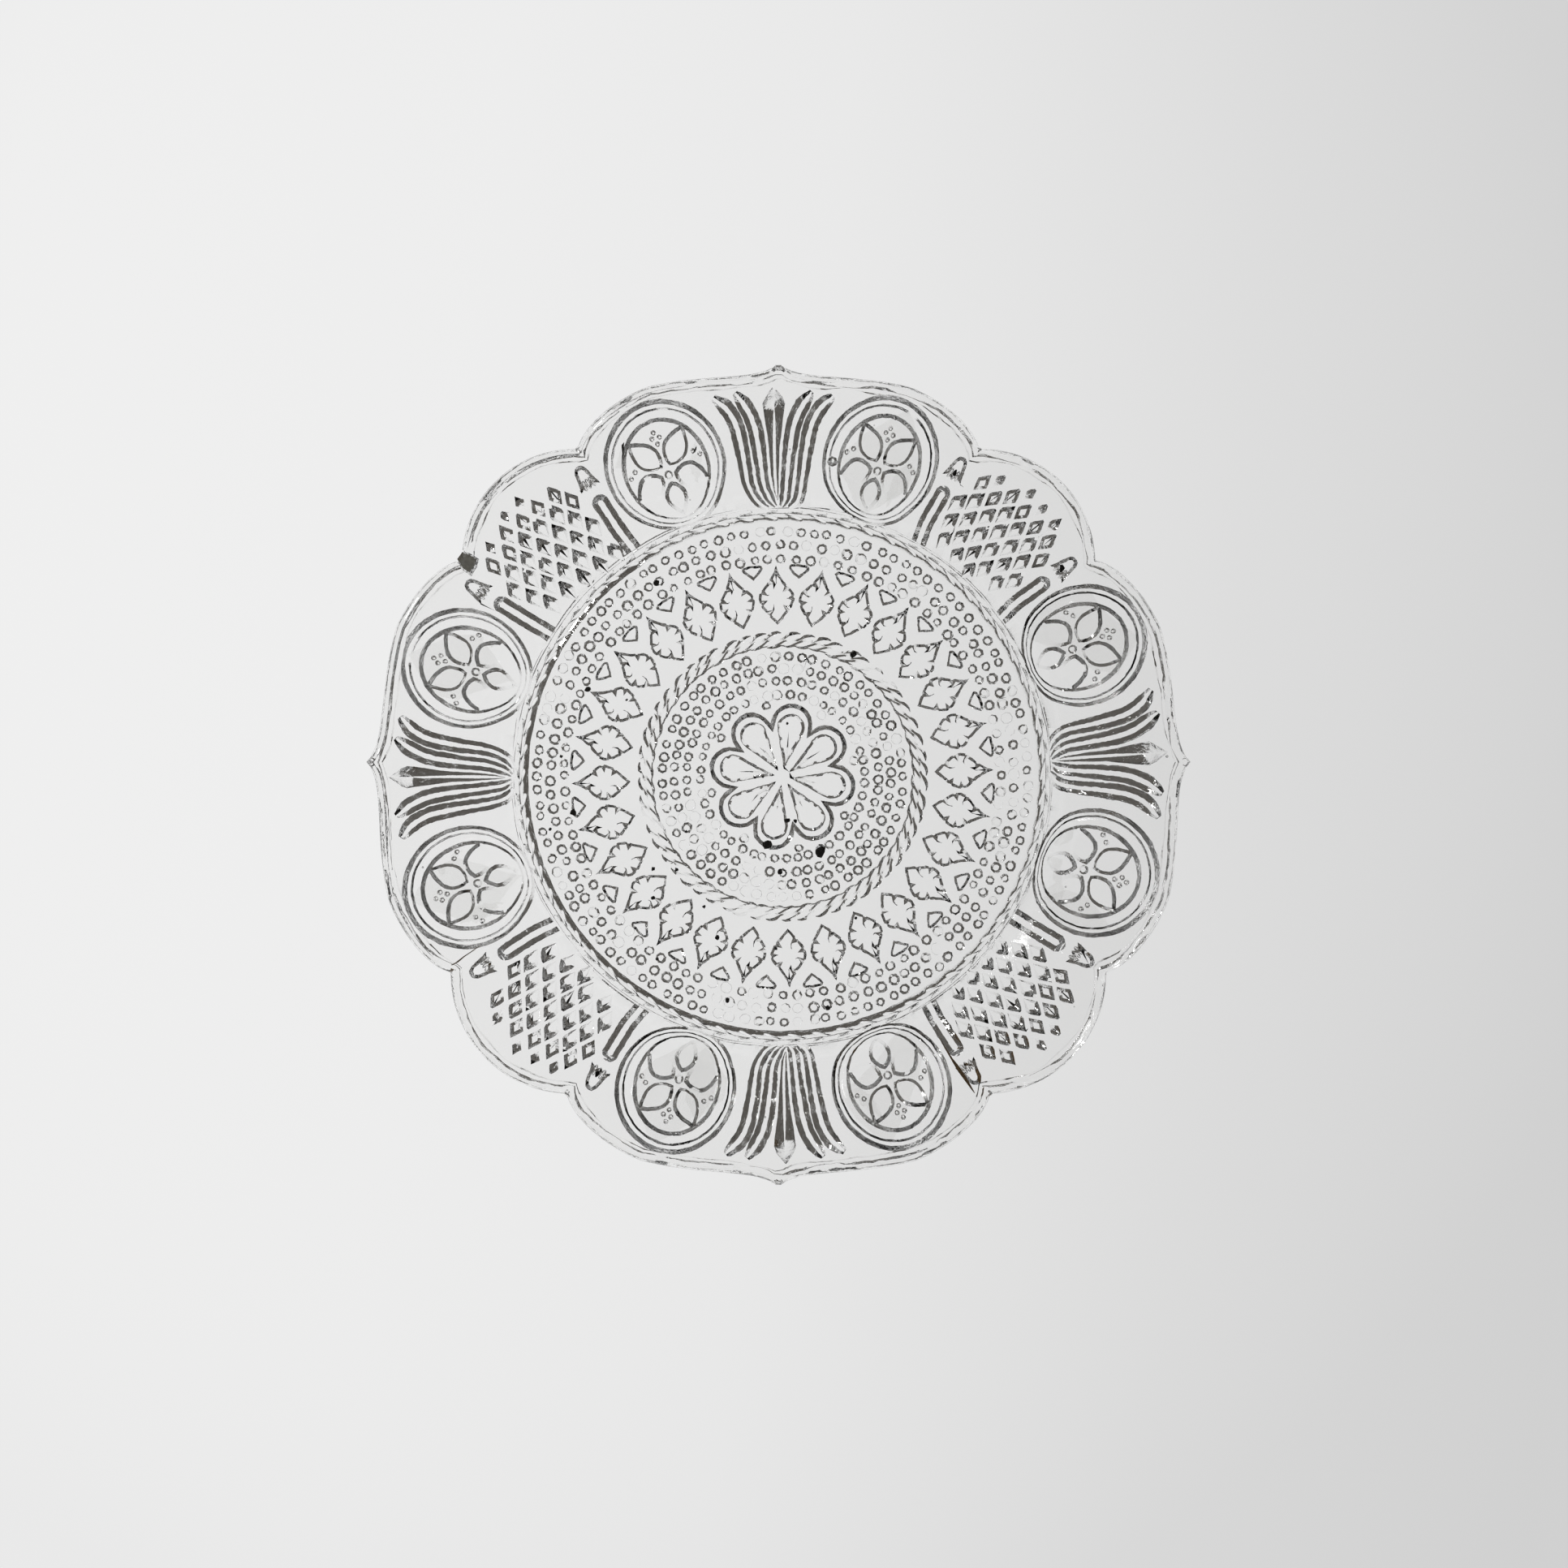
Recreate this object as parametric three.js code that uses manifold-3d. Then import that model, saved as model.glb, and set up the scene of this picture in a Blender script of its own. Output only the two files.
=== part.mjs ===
// A small pressed-glass plate: a flat beaded well on a rope table ring, inside a flared and scalloped rim.
// The glass is a single pressing, so nothing moves. Each zone of the pressed design is a solid of its own,
// and neighbouring zones share their boundary walls face to face, as one body of glass does.
// Millimetres, +Z up. The origin is on the table under the middle, with a palmette on each half axis.
import * as THREE from "three";
import { mergeVertices } from "three/addons/utils/BufferGeometryUtils.js";
import Module from "manifold-3d";

const wasm = await Module();
wasm.setup();

// Plan of the plate, from the middle outwards
const rosetteRadius = 7.8;
const rosetteValleyDepth = 2.05;
const ropeInnerRadius = 14.3;
const ropeWidth = 1.5;
const leafGap = 0.9;
const leafLength = 6.4;
const wellRadius = 28.0;
const tableRingWidth = 1.6;

// Scalloped edge: the cusps, and how far the rest lies inside them
const cuspRadius = 45.0;
const medallionLobeDrop = 0.3;
const diamondLobeDrop = 0.5;
const notchDrop = 3.2;
const ogeeDip = 2.1;
const shoulderRise = 1.7;

// Plan of the rim: angles in degrees, from the palmette in the middle of each quarter
const quarters = 4;
const palmetteHalfAngle = 8.7;
const diamondHalfAngle = 14.9;
const notchAngle = 12.4;
const barAngle = 12.8;
const ogeeAngle = 2.6;
const ogeeReach = 9.0;
const shoulderAngle = 2.0;
const shoulderReach = 5.0;

// Section through the glass: upright sizes
const tableClearance = 0.4;
const floorThickness = 2.8;
const tableFootWidth = 0.8;
const rimFootHeight = 1.5;
const rimThickness = 2.7;
const edgeThickness = 2.2;
const rimRise = 8.0;
const rimFlare = 0.28;

// Relief of the pressed ornament, on the underside
const wellRelief = 0.5;
const leafRelief = 0.4;
const borderRelief = 0.25;
const rimRelief = 0.5;
const lineRelief = 0.35;
const diamondRelief = 0.45;
const flank = 0.14;
const flankRoot = 0.06;
const reliefRoot = 0.4;

// Sizes of the single motifs
const petals = 8;
const petalStartRadius = 1.0;
const petalMargin = 1.1;
const petalRoundRadius = 1.35;
const leaves = 28;
const leafWidth = 4.0;
const leafShoulder = 3.0;
const dartLength = 0.95;
const dartWidth = 1.8;
const medallionGap = 0.4;
const medallionRadius = 6.6;
const medallionRingWidth = 0.75;
const ovalGap = 0.35;
const ovalSideGap = 1.05;
const ovalLineWidth = 0.55;
const flowerPetalStart = 0.8;
const flowerPetalLength = 3.5;
const flowerPetalWidth = 2.3;
const flowerPetalAngles = [33, -33, 102, -102, 180];
const flowerEyeRadius = 0.55;
const spearLength = 11.0;
const spearHeadLength = 1.8;
const spearHalfWidth = 1.0;
const spearFootHalfWidth = 0.28;
const ribWidth = 1.3;
const ribLength = 10.6;
const ribStarts = [1.35, 2.75];
const ribTips = [4.0, 6.1];
const ribBends = [4.8, 8.5];
const ribLean = 0.35;
const palmetteGap = 1.0;
const barLength = 7.4;
const barHalfWidth = 0.7;
const bellLength = 2.4;
const bellHalfWidth = 1.1;
const bellNeckHalfWidth = 0.4;
const bellMouthDip = 0.6;
const bellWaist = 0.8;
const bellGap = 0.7;
const diamondPitchAcross = 2.26;
const diamondPitchOut = 3.48;
const diamondHalfAcross = 0.9;
const diamondHalfOut = 1.35;
const diamondFlank = 0.42;
const diamondBorder = 0.45;
const edgeBorder = 0.9;

// Fineness of the facets
const around = 64;
const curveSteps = 3;
const ringSteps = 8;
const leafSteps = 2;
const edgeSteps = 5;
const rimSteps = 3;
const ropeSteps = 4;
const blankMargin = 1.0;
const mergeDistance = 1e-4;

const radians = THREE.MathUtils.degToRad;

// What follows from those sizes
const rosetteValleyRadius = rosetteRadius - rosetteValleyDepth;
const petalTipRadius = rosetteRadius - petalMargin;
const ropeOuterRadius = ropeInnerRadius + ropeWidth;
const leafInnerRadius = ropeOuterRadius + leafGap;
const leafTipRadius = leafInnerRadius + leafLength;
const rimInnerRadius = wellRadius + tableRingWidth;
const medallionCentreRadius = rimInnerRadius - medallionGap + medallionRadius;
const medallionLobeRadius = cuspRadius - medallionLobeDrop;
const diamondLobeRadius = cuspRadius - diamondLobeDrop;
const notchRadius = cuspRadius - notchDrop;
const barEndRadius = rimInnerRadius + barLength;
const palmetteFootRadius = rimInnerRadius + palmetteGap;
const groundHeight = tableClearance + Math.max(wellRelief, leafRelief, borderRelief, ropeWidth / 2);
const floorTop = groundHeight + floorThickness;
const quarterAngle = 360 / quarters;
const halfQuarter = quarterAngle / 2;
const medallionHalfAngle = (halfQuarter - palmetteHalfAngle - diamondHalfAngle) / 2;
const medallionAngle = palmetteHalfAngle + medallionHalfAngle;
const diamondLobe = lobeArc(diamondLobeRadius, notchRadius, notchAngle);
const rimReach = Math.max(cuspRadius, medallionLobeRadius, diamondLobeRadius) + blankMargin;

const glass = new THREE.MeshStandardMaterial({
  color: 0xe6e8e6,
  roughness: 0.06,
  metalness: 0,
  transparent: true,
  opacity: 0.45,
});

function polar(radius, degrees) {
  return new THREE.Vector2(radius * Math.cos(radians(degrees)), radius * Math.sin(radians(degrees)));
}

// The rim climbs from the shoulder and eases towards the edge.
function rimUnderside(radius) {
  const share = (radius - rimInnerRadius) / (rimReach - rimInnerRadius);
  return rimFootHeight + rimRise * share * (1 + rimFlare * (1 - share));
}

function rimTop(radius) {
  const share = (radius - rimInnerRadius) / (rimReach - rimInnerRadius);
  return rimUnderside(radius) + THREE.MathUtils.lerp(rimThickness, edgeThickness, share);
}

const topHeight = Math.max(rimTop(rimReach), floorTop) + blankMargin;

function underside(radius) {
  return radius < rimInnerRadius ? groundHeight : rimUnderside(radius);
}

// A closed three.js geometry as a solid that can be joined and cut.
function solid(geometry) {
  const bare = geometry.clone();
  bare.deleteAttribute("normal");
  bare.deleteAttribute("uv");
  const merged = mergeVertices(bare, mergeDistance);
  return new wasm.Manifold(
    new wasm.Mesh({
      numProp: 3,
      vertProperties: merged.attributes.position.array,
      triVerts: new Uint32Array(merged.index.array),
    }),
  );
}

function geometryOf(made) {
  const mesh = made.getMesh();
  const geometry = new THREE.BufferGeometry();
  geometry.setAttribute("position", new THREE.BufferAttribute(mesh.vertProperties, 3));
  geometry.setIndex(new THREE.BufferAttribute(mesh.triVerts, 1));
  geometry.computeVertexNormals();
  return geometry;
}

// A section of (radius, height) pairs turned about the upright axis. Rings list it anticlockwise.
function turned(section) {
  const points = section.map(([radius, height]) => new THREE.Vector2(radius, height));
  return solid(new THREE.LatheGeometry(points, around).rotateX(Math.PI / 2));
}

function disc(radius, bottom, top) {
  return turned([[0, bottom], [radius, bottom], [radius, top], [0, top]]);
}

function ring(inner, outer, bottom, top) {
  return turned([[inner, bottom], [outer, bottom], [outer, top], [inner, top], [inner, bottom]]);
}

// Lets a flat motif lie on the underside with its height pointing down, which turns its faces round.
function draped(geometry) {
  const place = geometry.attributes.position;
  for (let i = 0; i < place.count; i++) {
    const height = underside(Math.hypot(place.getX(i), place.getY(i)));
    place.setZ(i, height - place.getZ(i));
  }
  for (let i = 0; i < place.count; i += 3) {
    const second = new THREE.Vector3().fromBufferAttribute(place, i + 1);
    const third = new THREE.Vector3().fromBufferAttribute(place, i + 2);
    place.setXYZ(i + 1, ...third);
    place.setXYZ(i + 2, ...second);
  }
  return geometry;
}

// A motif has its full outline just behind the ground, and is drawn in by its flank at its full height.
function motif(shape, height, { turn = 0, side = flank, steps = curveSteps } = {}) {
  const geometry = new THREE.ExtrudeGeometry(shape, {
    depth: reliefRoot,
    bevelThickness: height + flankRoot,
    bevelSize: side,
    bevelOffset: -side,
    bevelSegments: 1,
    curveSegments: steps,
  });
  geometry.translate(0, 0, -reliefRoot - flankRoot);
  return solid(draped(geometry).rotateZ(radians(turn)));
}

// Body and ornament pressed together, kept inside the zone's own boundary.
function pressed(body, zone, motifs) {
  return motifs.reduce((sum, each) => sum.add(each), body).intersect(zone);
}

// The arc from valley to valley over a crown, all on one axis through the middle
function lobeArc(crownRadius, valleyRadius, halfAngle) {
  const valley = polar(valleyRadius, halfAngle);
  const rise = crownRadius - valley.x;
  const radius = (valley.y ** 2 + rise ** 2) / (2 * rise);
  const out = crownRadius - radius;
  return { out, radius, spread: Math.atan2(valley.y, valley.x - out) };
}

function addLobe(shape, axis, arc) {
  const { x, y } = polar(arc.out, axis);
  shape.absarc(x, y, arc.radius, radians(axis) - arc.spread, radians(axis) + arc.spread, false);
}

// An ogee between a cusp and the crown of a lobe, and the arc between that crown and the notch.
function bracket(shape, turn, side) {
  const place = (radius, degrees) => polar(radius, turn + side * degrees);
  const crown = place(medallionLobeRadius, medallionAngle);
  const cusp = place(cuspRadius, 0);
  const notch = place(notchRadius, halfQuarter - notchAngle);
  const ogee = [
    place(cuspRadius - ogeeDip, ogeeAngle),
    place(medallionLobeRadius, medallionAngle - ogeeReach),
  ];
  const shoulder = [
    place(medallionLobeRadius, medallionAngle + shoulderReach),
    place(notchRadius + shoulderRise, halfQuarter - notchAngle - shoulderAngle),
  ];
  if (side > 0) {
    shape.bezierCurveTo(...ogee[0], ...ogee[1], ...crown);
    shape.bezierCurveTo(...shoulder[0], ...shoulder[1], ...notch);
  } else {
    shape.bezierCurveTo(...shoulder[1], ...shoulder[0], ...crown);
    shape.bezierCurveTo(...ogee[1], ...ogee[0], ...cusp);
  }
}

function plateOutline() {
  const outline = new THREE.Shape();
  outline.moveTo(...polar(cuspRadius, 0));
  for (let quarter = 0; quarter < quarters; quarter++) {
    const turn = quarter * quarterAngle;
    bracket(outline, turn, 1);
    addLobe(outline, turn + halfQuarter, diamondLobe);
    bracket(outline, turn + quarterAngle, -1);
  }
  return outline;
}

// Rosette, with its lobed border and its rounded petals
function rosetteBorder() {
  const border = new THREE.Shape();
  border.moveTo(...polar(rosetteValleyRadius, -180 / petals));
  const arc = lobeArc(rosetteRadius, rosetteValleyRadius, 180 / petals);
  for (let petal = 0; petal < petals; petal++) {
    addLobe(border, (petal * 360) / petals, arc);
  }
  return border;
}

function rosettePetal() {
  const petal = new THREE.Shape();
  const centre = petalTipRadius - petalRoundRadius;
  const tangent = Math.PI / 2 + Math.asin(petalRoundRadius / (centre - petalStartRadius));
  petal.moveTo(petalStartRadius, 0);
  petal.absarc(centre, 0, petalRoundRadius, -tangent, tangent, false);
  petal.closePath();
  return petal;
}

function centreDisc() {
  const motifs = [motif(rosetteBorder(), borderRelief)];
  for (let petal = 0; petal < petals; petal++) {
    motifs.push(motif(rosettePetal(), wellRelief, { turn: (petal * 360) / petals }));
  }
  return pressed(
    disc(ropeInnerRadius, groundHeight, floorTop),
    disc(ropeInnerRadius, 0, topHeight),
    motifs,
  );
}

// The rope ring hangs below the floor as a half round.
function ropeRing() {
  const half = ropeWidth / 2;
  const section = [[ropeOuterRadius, floorTop], [ropeInnerRadius, floorTop]];
  for (let step = 0; step <= ropeSteps; step++) {
    const turn = (Math.PI * step) / ropeSteps;
    section.push([ropeInnerRadius + half - half * Math.cos(turn), groundHeight - half * Math.sin(turn)]);
  }
  section.push(section[0]);
  return turned(section);
}

// A leaf, and the dart between the tips of two leaves
function leafShape() {
  const leaf = new THREE.Shape();
  const shoulder = leafInnerRadius + leafShoulder;
  leaf.moveTo(leafInnerRadius, 0);
  for (const side of [-1, 1]) {
    const half = (side * leafWidth) / 2;
    const ends = [leafInnerRadius, leafTipRadius];
    const [first, last] = side < 0 ? ends : ends.reverse();
    leaf.quadraticCurveTo((first + shoulder) / 2, half, shoulder, half);
    leaf.quadraticCurveTo((last + shoulder) / 2, half / 2, last, 0);
  }
  return leaf;
}

function dartShape() {
  const dart = new THREE.Shape();
  dart.moveTo(leafTipRadius - dartLength, 0);
  dart.lineTo(leafTipRadius, -dartWidth / 2);
  dart.lineTo(leafTipRadius, dartWidth / 2);
  dart.closePath();
  return dart;
}

function leafBand() {
  const motifs = [];
  for (let leaf = 0; leaf < leaves; leaf++) {
    motifs.push(motif(leafShape(), leafRelief, { turn: (leaf * 360) / leaves, steps: leafSteps }));
    motifs.push(motif(dartShape(), borderRelief, { turn: ((leaf + 0.5) * 360) / leaves }));
  }
  return pressed(
    ring(ropeOuterRadius, wellRadius, groundHeight, floorTop),
    ring(ropeOuterRadius, wellRadius, 0, topHeight),
    motifs,
  );
}

// The plate stands on the flat foot of this ring.
function tableRing() {
  const middle = wellRadius + tableRingWidth / 2;
  return turned([
    [wellRadius, groundHeight],
    [middle - tableFootWidth / 2, 0],
    [middle + tableFootWidth / 2, 0],
    [rimInnerRadius, rimUnderside(rimInnerRadius)],
    [rimInnerRadius, rimTop(rimInnerRadius)],
    [wellRadius, floorTop],
    [wellRadius, groundHeight],
  ]);
}

// Rim before it is divided, and the blank that holds every rim zone
function rimBody() {
  const section = [];
  for (let step = 0; step <= rimSteps; step++) {
    const radius = THREE.MathUtils.lerp(rimInnerRadius, rimReach, step / rimSteps);
    section.push([radius, rimUnderside(radius)]);
  }
  for (let step = rimSteps; step >= 0; step--) {
    const radius = THREE.MathUtils.lerp(rimInnerRadius, rimReach, step / rimSteps);
    section.push([radius, rimTop(radius)]);
  }
  section.push(section[0]);
  return turned(section);
}

function upright(shape) {
  return solid(
    new THREE.ExtrudeGeometry(shape, { depth: topHeight, bevelEnabled: false, curveSegments: edgeSteps }),
  );
}

function wedge(from, to) {
  const reach = (2 * rimReach) / Math.cos(radians((to - from) / 2));
  const slice = new THREE.Shape();
  slice.moveTo(0, 0);
  slice.lineTo(...polar(reach, from));
  slice.lineTo(...polar(reach, to));
  slice.closePath();
  return upright(slice);
}

const rim = rimBody();
const rimBlank = ring(rimInnerRadius, rimReach, 0, topHeight).intersect(upright(plateOutline()));

function rimPanel(from, to, motifs) {
  const zone = rimBlank.intersect(wedge(from, to));
  return pressed(rim.intersect(zone), zone, motifs);
}

// Palmette: a spear between two pairs of ribs that bend away from it
function spearShape() {
  const tip = palmetteFootRadius + spearLength;
  const spear = new THREE.Shape();
  spear.moveTo(palmetteFootRadius, -spearFootHalfWidth);
  spear.lineTo(tip - spearHeadLength, -spearHalfWidth);
  spear.lineTo(tip, 0);
  spear.lineTo(tip - spearHeadLength, spearHalfWidth);
  spear.lineTo(palmetteFootRadius, spearFootHalfWidth);
  spear.closePath();
  return spear;
}

function ribShape(start, tip, side) {
  const foot = palmetteFootRadius;
  const [near, far] = [-side, side].map((edge) => {
    const across = side * start + (edge * ribWidth) / 2;
    const lean = side * (tip - start) * ribLean;
    return [foot + ribBends[0], across, foot + ribBends[1], across + lean];
  });
  const [lower, upper] = side > 0 ? [near, far] : [far, near];
  const rib = new THREE.Shape();
  rib.moveTo(foot, side * start);
  rib.bezierCurveTo(...lower, foot + ribLength, side * tip);
  rib.bezierCurveTo(...upper.slice(2), ...upper.slice(0, 2), foot, side * start);
  return rib;
}

function palmettePanel() {
  const motifs = [motif(spearShape(), rimRelief)];
  ribStarts.forEach((start, i) => {
    for (const side of [-1, 1]) motifs.push(motif(ribShape(start, ribTips[i], side), rimRelief));
  });
  return rimPanel(-palmetteHalfAngle, palmetteHalfAngle, motifs);
}

// Medallion: a ring, an oval line and a flower of five petals round an eye
function ellipseBand(halfLength, halfWidth, width) {
  const band = new THREE.Shape();
  band.absellipse(medallionCentreRadius, 0, halfLength, halfWidth, 0, 2 * Math.PI, false);
  const hole = new THREE.Path();
  hole.absellipse(medallionCentreRadius, 0, halfLength - width, halfWidth - width, 0, 2 * Math.PI, true);
  band.holes.push(hole);
  return band;
}

function flowerPetal(degrees) {
  const along = polar(1, degrees);
  const point = (out, across) => [
    medallionCentreRadius + along.x * out - along.y * across,
    along.y * out + along.x * across,
  ];
  const middle = flowerPetalStart + flowerPetalLength / 2;
  const tip = flowerPetalStart + flowerPetalLength;
  const petal = new THREE.Shape();
  petal.moveTo(...point(flowerPetalStart, 0));
  petal.quadraticCurveTo(...point(middle, -flowerPetalWidth), ...point(tip, 0));
  petal.quadraticCurveTo(...point(middle, flowerPetalWidth), ...point(flowerPetalStart, 0));
  return petal;
}

function medallionPanel(side) {
  const turn = side * medallionAngle;
  const eye = new THREE.Shape();
  eye.absarc(medallionCentreRadius, 0, flowerEyeRadius, 0, 2 * Math.PI, false);
  const inside = medallionRadius - medallionRingWidth;
  const rings = [
    ellipseBand(medallionRadius, medallionRadius, medallionRingWidth),
    ellipseBand(inside - ovalGap, inside - ovalSideGap, ovalLineWidth),
  ];
  const motifs = [
    ...rings.map((band) => motif(band, lineRelief, { turn, steps: ringSteps })),
    ...flowerPetalAngles.map((degrees) => motif(flowerPetal(degrees), lineRelief, { turn })),
    motif(eye, lineRelief, { turn }),
  ];
  return rimPanel(turn - medallionHalfAngle, turn + medallionHalfAngle, motifs);
}

// Diamond panel: raised diamonds between two bars, with a bell at each notch
function barShape() {
  const bar = new THREE.Shape();
  bar.moveTo(rimInnerRadius - barHalfWidth, -barHalfWidth);
  bar.absarc(barEndRadius - barHalfWidth, 0, barHalfWidth, -Math.PI / 2, Math.PI / 2, false);
  bar.lineTo(rimInnerRadius - barHalfWidth, barHalfWidth);
  bar.closePath();
  return bar;
}

function bellShape() {
  const mouth = barEndRadius + bellGap;
  const neck = mouth + bellLength;
  const bell = new THREE.Shape();
  bell.moveTo(mouth, -bellHalfWidth);
  bell.quadraticCurveTo(neck - bellWaist, -bellNeckHalfWidth, neck, -bellNeckHalfWidth);
  bell.lineTo(neck, bellNeckHalfWidth);
  bell.quadraticCurveTo(neck - bellWaist, bellNeckHalfWidth, mouth, bellHalfWidth);
  bell.lineTo(mouth + bellMouthDip, 0);
  bell.closePath();
  return bell;
}

function diamondShape(out, across) {
  const diamond = new THREE.Shape();
  diamond.moveTo(out - diamondHalfOut, across);
  diamond.lineTo(out, across - diamondHalfAcross);
  diamond.lineTo(out + diamondHalfOut, across);
  diamond.lineTo(out, across + diamondHalfAcross);
  diamond.closePath();
  return diamond;
}

function diamondField() {
  const field = [];
  const columns = Math.ceil(notchRadius / diamondPitchAcross);
  const rows = Math.ceil((2 * (diamondLobeRadius - rimInnerRadius)) / diamondPitchOut);
  for (let row = 0; row < rows; row++) {
    const out = rimInnerRadius + diamondBorder + diamondHalfOut + (row * diamondPitchOut) / 2;
    const beside = out + diamondHalfOut < barEndRadius ? barHalfWidth : bellHalfWidth;
    const limit = out * Math.tan(radians(barAngle)) - beside - diamondHalfAcross - diamondBorder;
    for (let column = -columns; column <= columns; column++) {
      const across = (column + (row % 2) / 2) * diamondPitchAcross;
      const reach = Math.hypot(out + diamondHalfOut - diamondLobe.out, across) + edgeBorder;
      if (Math.abs(across) > limit || reach > diamondLobe.radius) continue;
      const lie = { turn: halfQuarter, side: diamondFlank };
      field.push(motif(diamondShape(out, across), diamondRelief, lie));
    }
  }
  return field;
}

function diamondPanel() {
  const motifs = diamondField();
  for (const side of [-1, 1]) {
    const turn = halfQuarter + side * barAngle;
    motifs.push(motif(barShape(), rimRelief, { turn }), motif(bellShape(), lineRelief, { turn }));
  }
  return rimPanel(halfQuarter - diamondHalfAngle, halfQuarter + diamondHalfAngle, motifs);
}

function piece(name, geometry) {
  const mesh = new THREE.Mesh(geometry, glass);
  mesh.name = name;
  return mesh;
}

const plate = new THREE.Group();
plate.add(
  piece("centre_disc", geometryOf(centreDisc())),
  piece("rope_ring", geometryOf(ropeRing())),
  piece("leaf_band", geometryOf(leafBand())),
  piece("table_ring", geometryOf(tableRing())),
);

const palmette = geometryOf(palmettePanel());
const leftMedallion = geometryOf(medallionPanel(1));
const rightMedallion = geometryOf(medallionPanel(-1));
const diamonds = geometryOf(diamondPanel());

for (let quarter = 0; quarter < quarters; quarter++) {
  const group = new THREE.Group();
  group.rotation.z = radians(quarter * quarterAngle);
  group.add(
    piece(`palmette_panel_${quarter + 1}`, palmette),
    piece(`medallion_panel_left_${quarter + 1}`, leftMedallion),
    piece(`medallion_panel_right_${quarter + 1}`, rightMedallion),
    piece(`diamond_panel_${quarter + 1}`, diamonds),
  );
  plate.add(group);
}

export default plate;
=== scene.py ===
"""The looks of a small pressed-glass plate: one clear pressing, smooth on top, with its ornament underneath.

Plan sizes are millimetres from the middle of the plate, and turns are degrees anticlockwise from +X. A relief's
height is measured down from the underside.
"""

import math
import random

import bmesh
import bpy
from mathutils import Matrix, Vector, noise


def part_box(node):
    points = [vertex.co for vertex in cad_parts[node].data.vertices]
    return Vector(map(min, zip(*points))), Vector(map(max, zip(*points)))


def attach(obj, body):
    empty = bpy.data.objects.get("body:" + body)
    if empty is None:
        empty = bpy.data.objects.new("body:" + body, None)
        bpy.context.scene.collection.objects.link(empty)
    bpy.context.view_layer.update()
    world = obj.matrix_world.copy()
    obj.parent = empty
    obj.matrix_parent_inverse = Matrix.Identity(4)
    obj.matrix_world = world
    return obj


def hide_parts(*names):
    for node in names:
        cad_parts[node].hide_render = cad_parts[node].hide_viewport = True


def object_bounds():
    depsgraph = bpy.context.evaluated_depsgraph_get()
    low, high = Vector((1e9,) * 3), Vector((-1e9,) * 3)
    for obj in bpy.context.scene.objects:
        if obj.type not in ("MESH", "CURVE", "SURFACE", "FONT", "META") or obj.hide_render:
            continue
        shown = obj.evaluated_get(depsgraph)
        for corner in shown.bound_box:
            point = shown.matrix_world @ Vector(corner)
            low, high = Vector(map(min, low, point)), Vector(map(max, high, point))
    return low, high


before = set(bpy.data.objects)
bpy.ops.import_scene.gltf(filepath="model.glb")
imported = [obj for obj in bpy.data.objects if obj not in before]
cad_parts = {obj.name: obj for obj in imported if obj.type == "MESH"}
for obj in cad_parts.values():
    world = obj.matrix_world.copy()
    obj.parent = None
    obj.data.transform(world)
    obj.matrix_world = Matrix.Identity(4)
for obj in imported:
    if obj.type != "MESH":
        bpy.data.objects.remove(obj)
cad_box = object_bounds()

MM = 0.001

# Vector noise follows the clock unless it has a seed
NOISE_SEED = 12
noise.seed_set(NOISE_SEED)


def reach(node):
    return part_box(node)[1].x / MM


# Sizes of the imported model
ROPE_INNER = reach("centre_disc")
ROPE_OUTER = reach("rope_ring")
ROPE_MIDDLE = (ROPE_INNER + ROPE_OUTER) / 2
ROPE_HALF = (ROPE_OUTER - ROPE_INNER) / 2
WELL_RADIUS = reach("leaf_band")
RIM_INNER = reach("table_ring")
FLOOR_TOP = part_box("centre_disc")[1].z / MM
PLATE_RADIUS = cad_box[1].x / MM

# Section through the glass
GROUND = 1.15
RIM_FOOT = 1.5
RIM_RISE = 8.0
RIM_FLARE = 0.28
RIM_THICKNESS = 2.7
EDGE_THICKNESS = 2.2
RIM_REACH = PLATE_RADIUS + 1.0
EDGE_ROUND = 1.1
SHOULDER_ROUND = 0.9
TABLE_RING = (
    (0.24, 0.917), (0.6, 0.568), (0.85, 0.38), (1.0, 0.31), (1.14, 0.36), (1.32, 0.66), (1.46, 1.12),
)

# Where the smooth pressing has its points: along the edge, at radii in the well, and at shares of the rim and
# of the rounded edge
EDGE_SPACING = 0.7
TOP_RADII = (14.0, 26.0, 27.6, 28.6, 29.4, 30.3, 31.6)
GROUND_RADII = (26.2, 14.0)
RIM_SHARES = (0.17, 0.34, 0.51, 0.68, 0.85, 1.0)
ROUND_SHARES = (0.35, 0.6, 0.8, 0.93, 1.0)

# Scalloped edge, inside the cusps
QUARTERS = 4
MEDALLION_ANGLE = 19.4
NOTCH_ANGLE = 32.6
MEDALLION_LOBE = PLATE_RADIUS - 0.3
DIAMOND_LOBE = PLATE_RADIUS - 0.5
NOTCH_RADIUS = PLATE_RADIUS - 3.2

# How deep the foot of a relief sinks into the glass. A draft is the width of a side for one unit of height.
ROOT = 0.07

# How far hand cutting strays: the rim's panels and edge, in degrees, and the fine raggedness of every line
PANEL_TURN = 1.35
PANEL_WANDER = ((1, 1.1, 15), (2, 0.75, 50), (3, 0.6, 45))
EDGE_WANDER = ((1, 1.8, 0),)
EDGE_ASIDE = (-0.45, 0.2)
RAGGED = 0.08
RAGGED_PITCH = 0.55
RAGGED_GRAIN = 0.2
FAINT_TURN = 61.0

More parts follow.
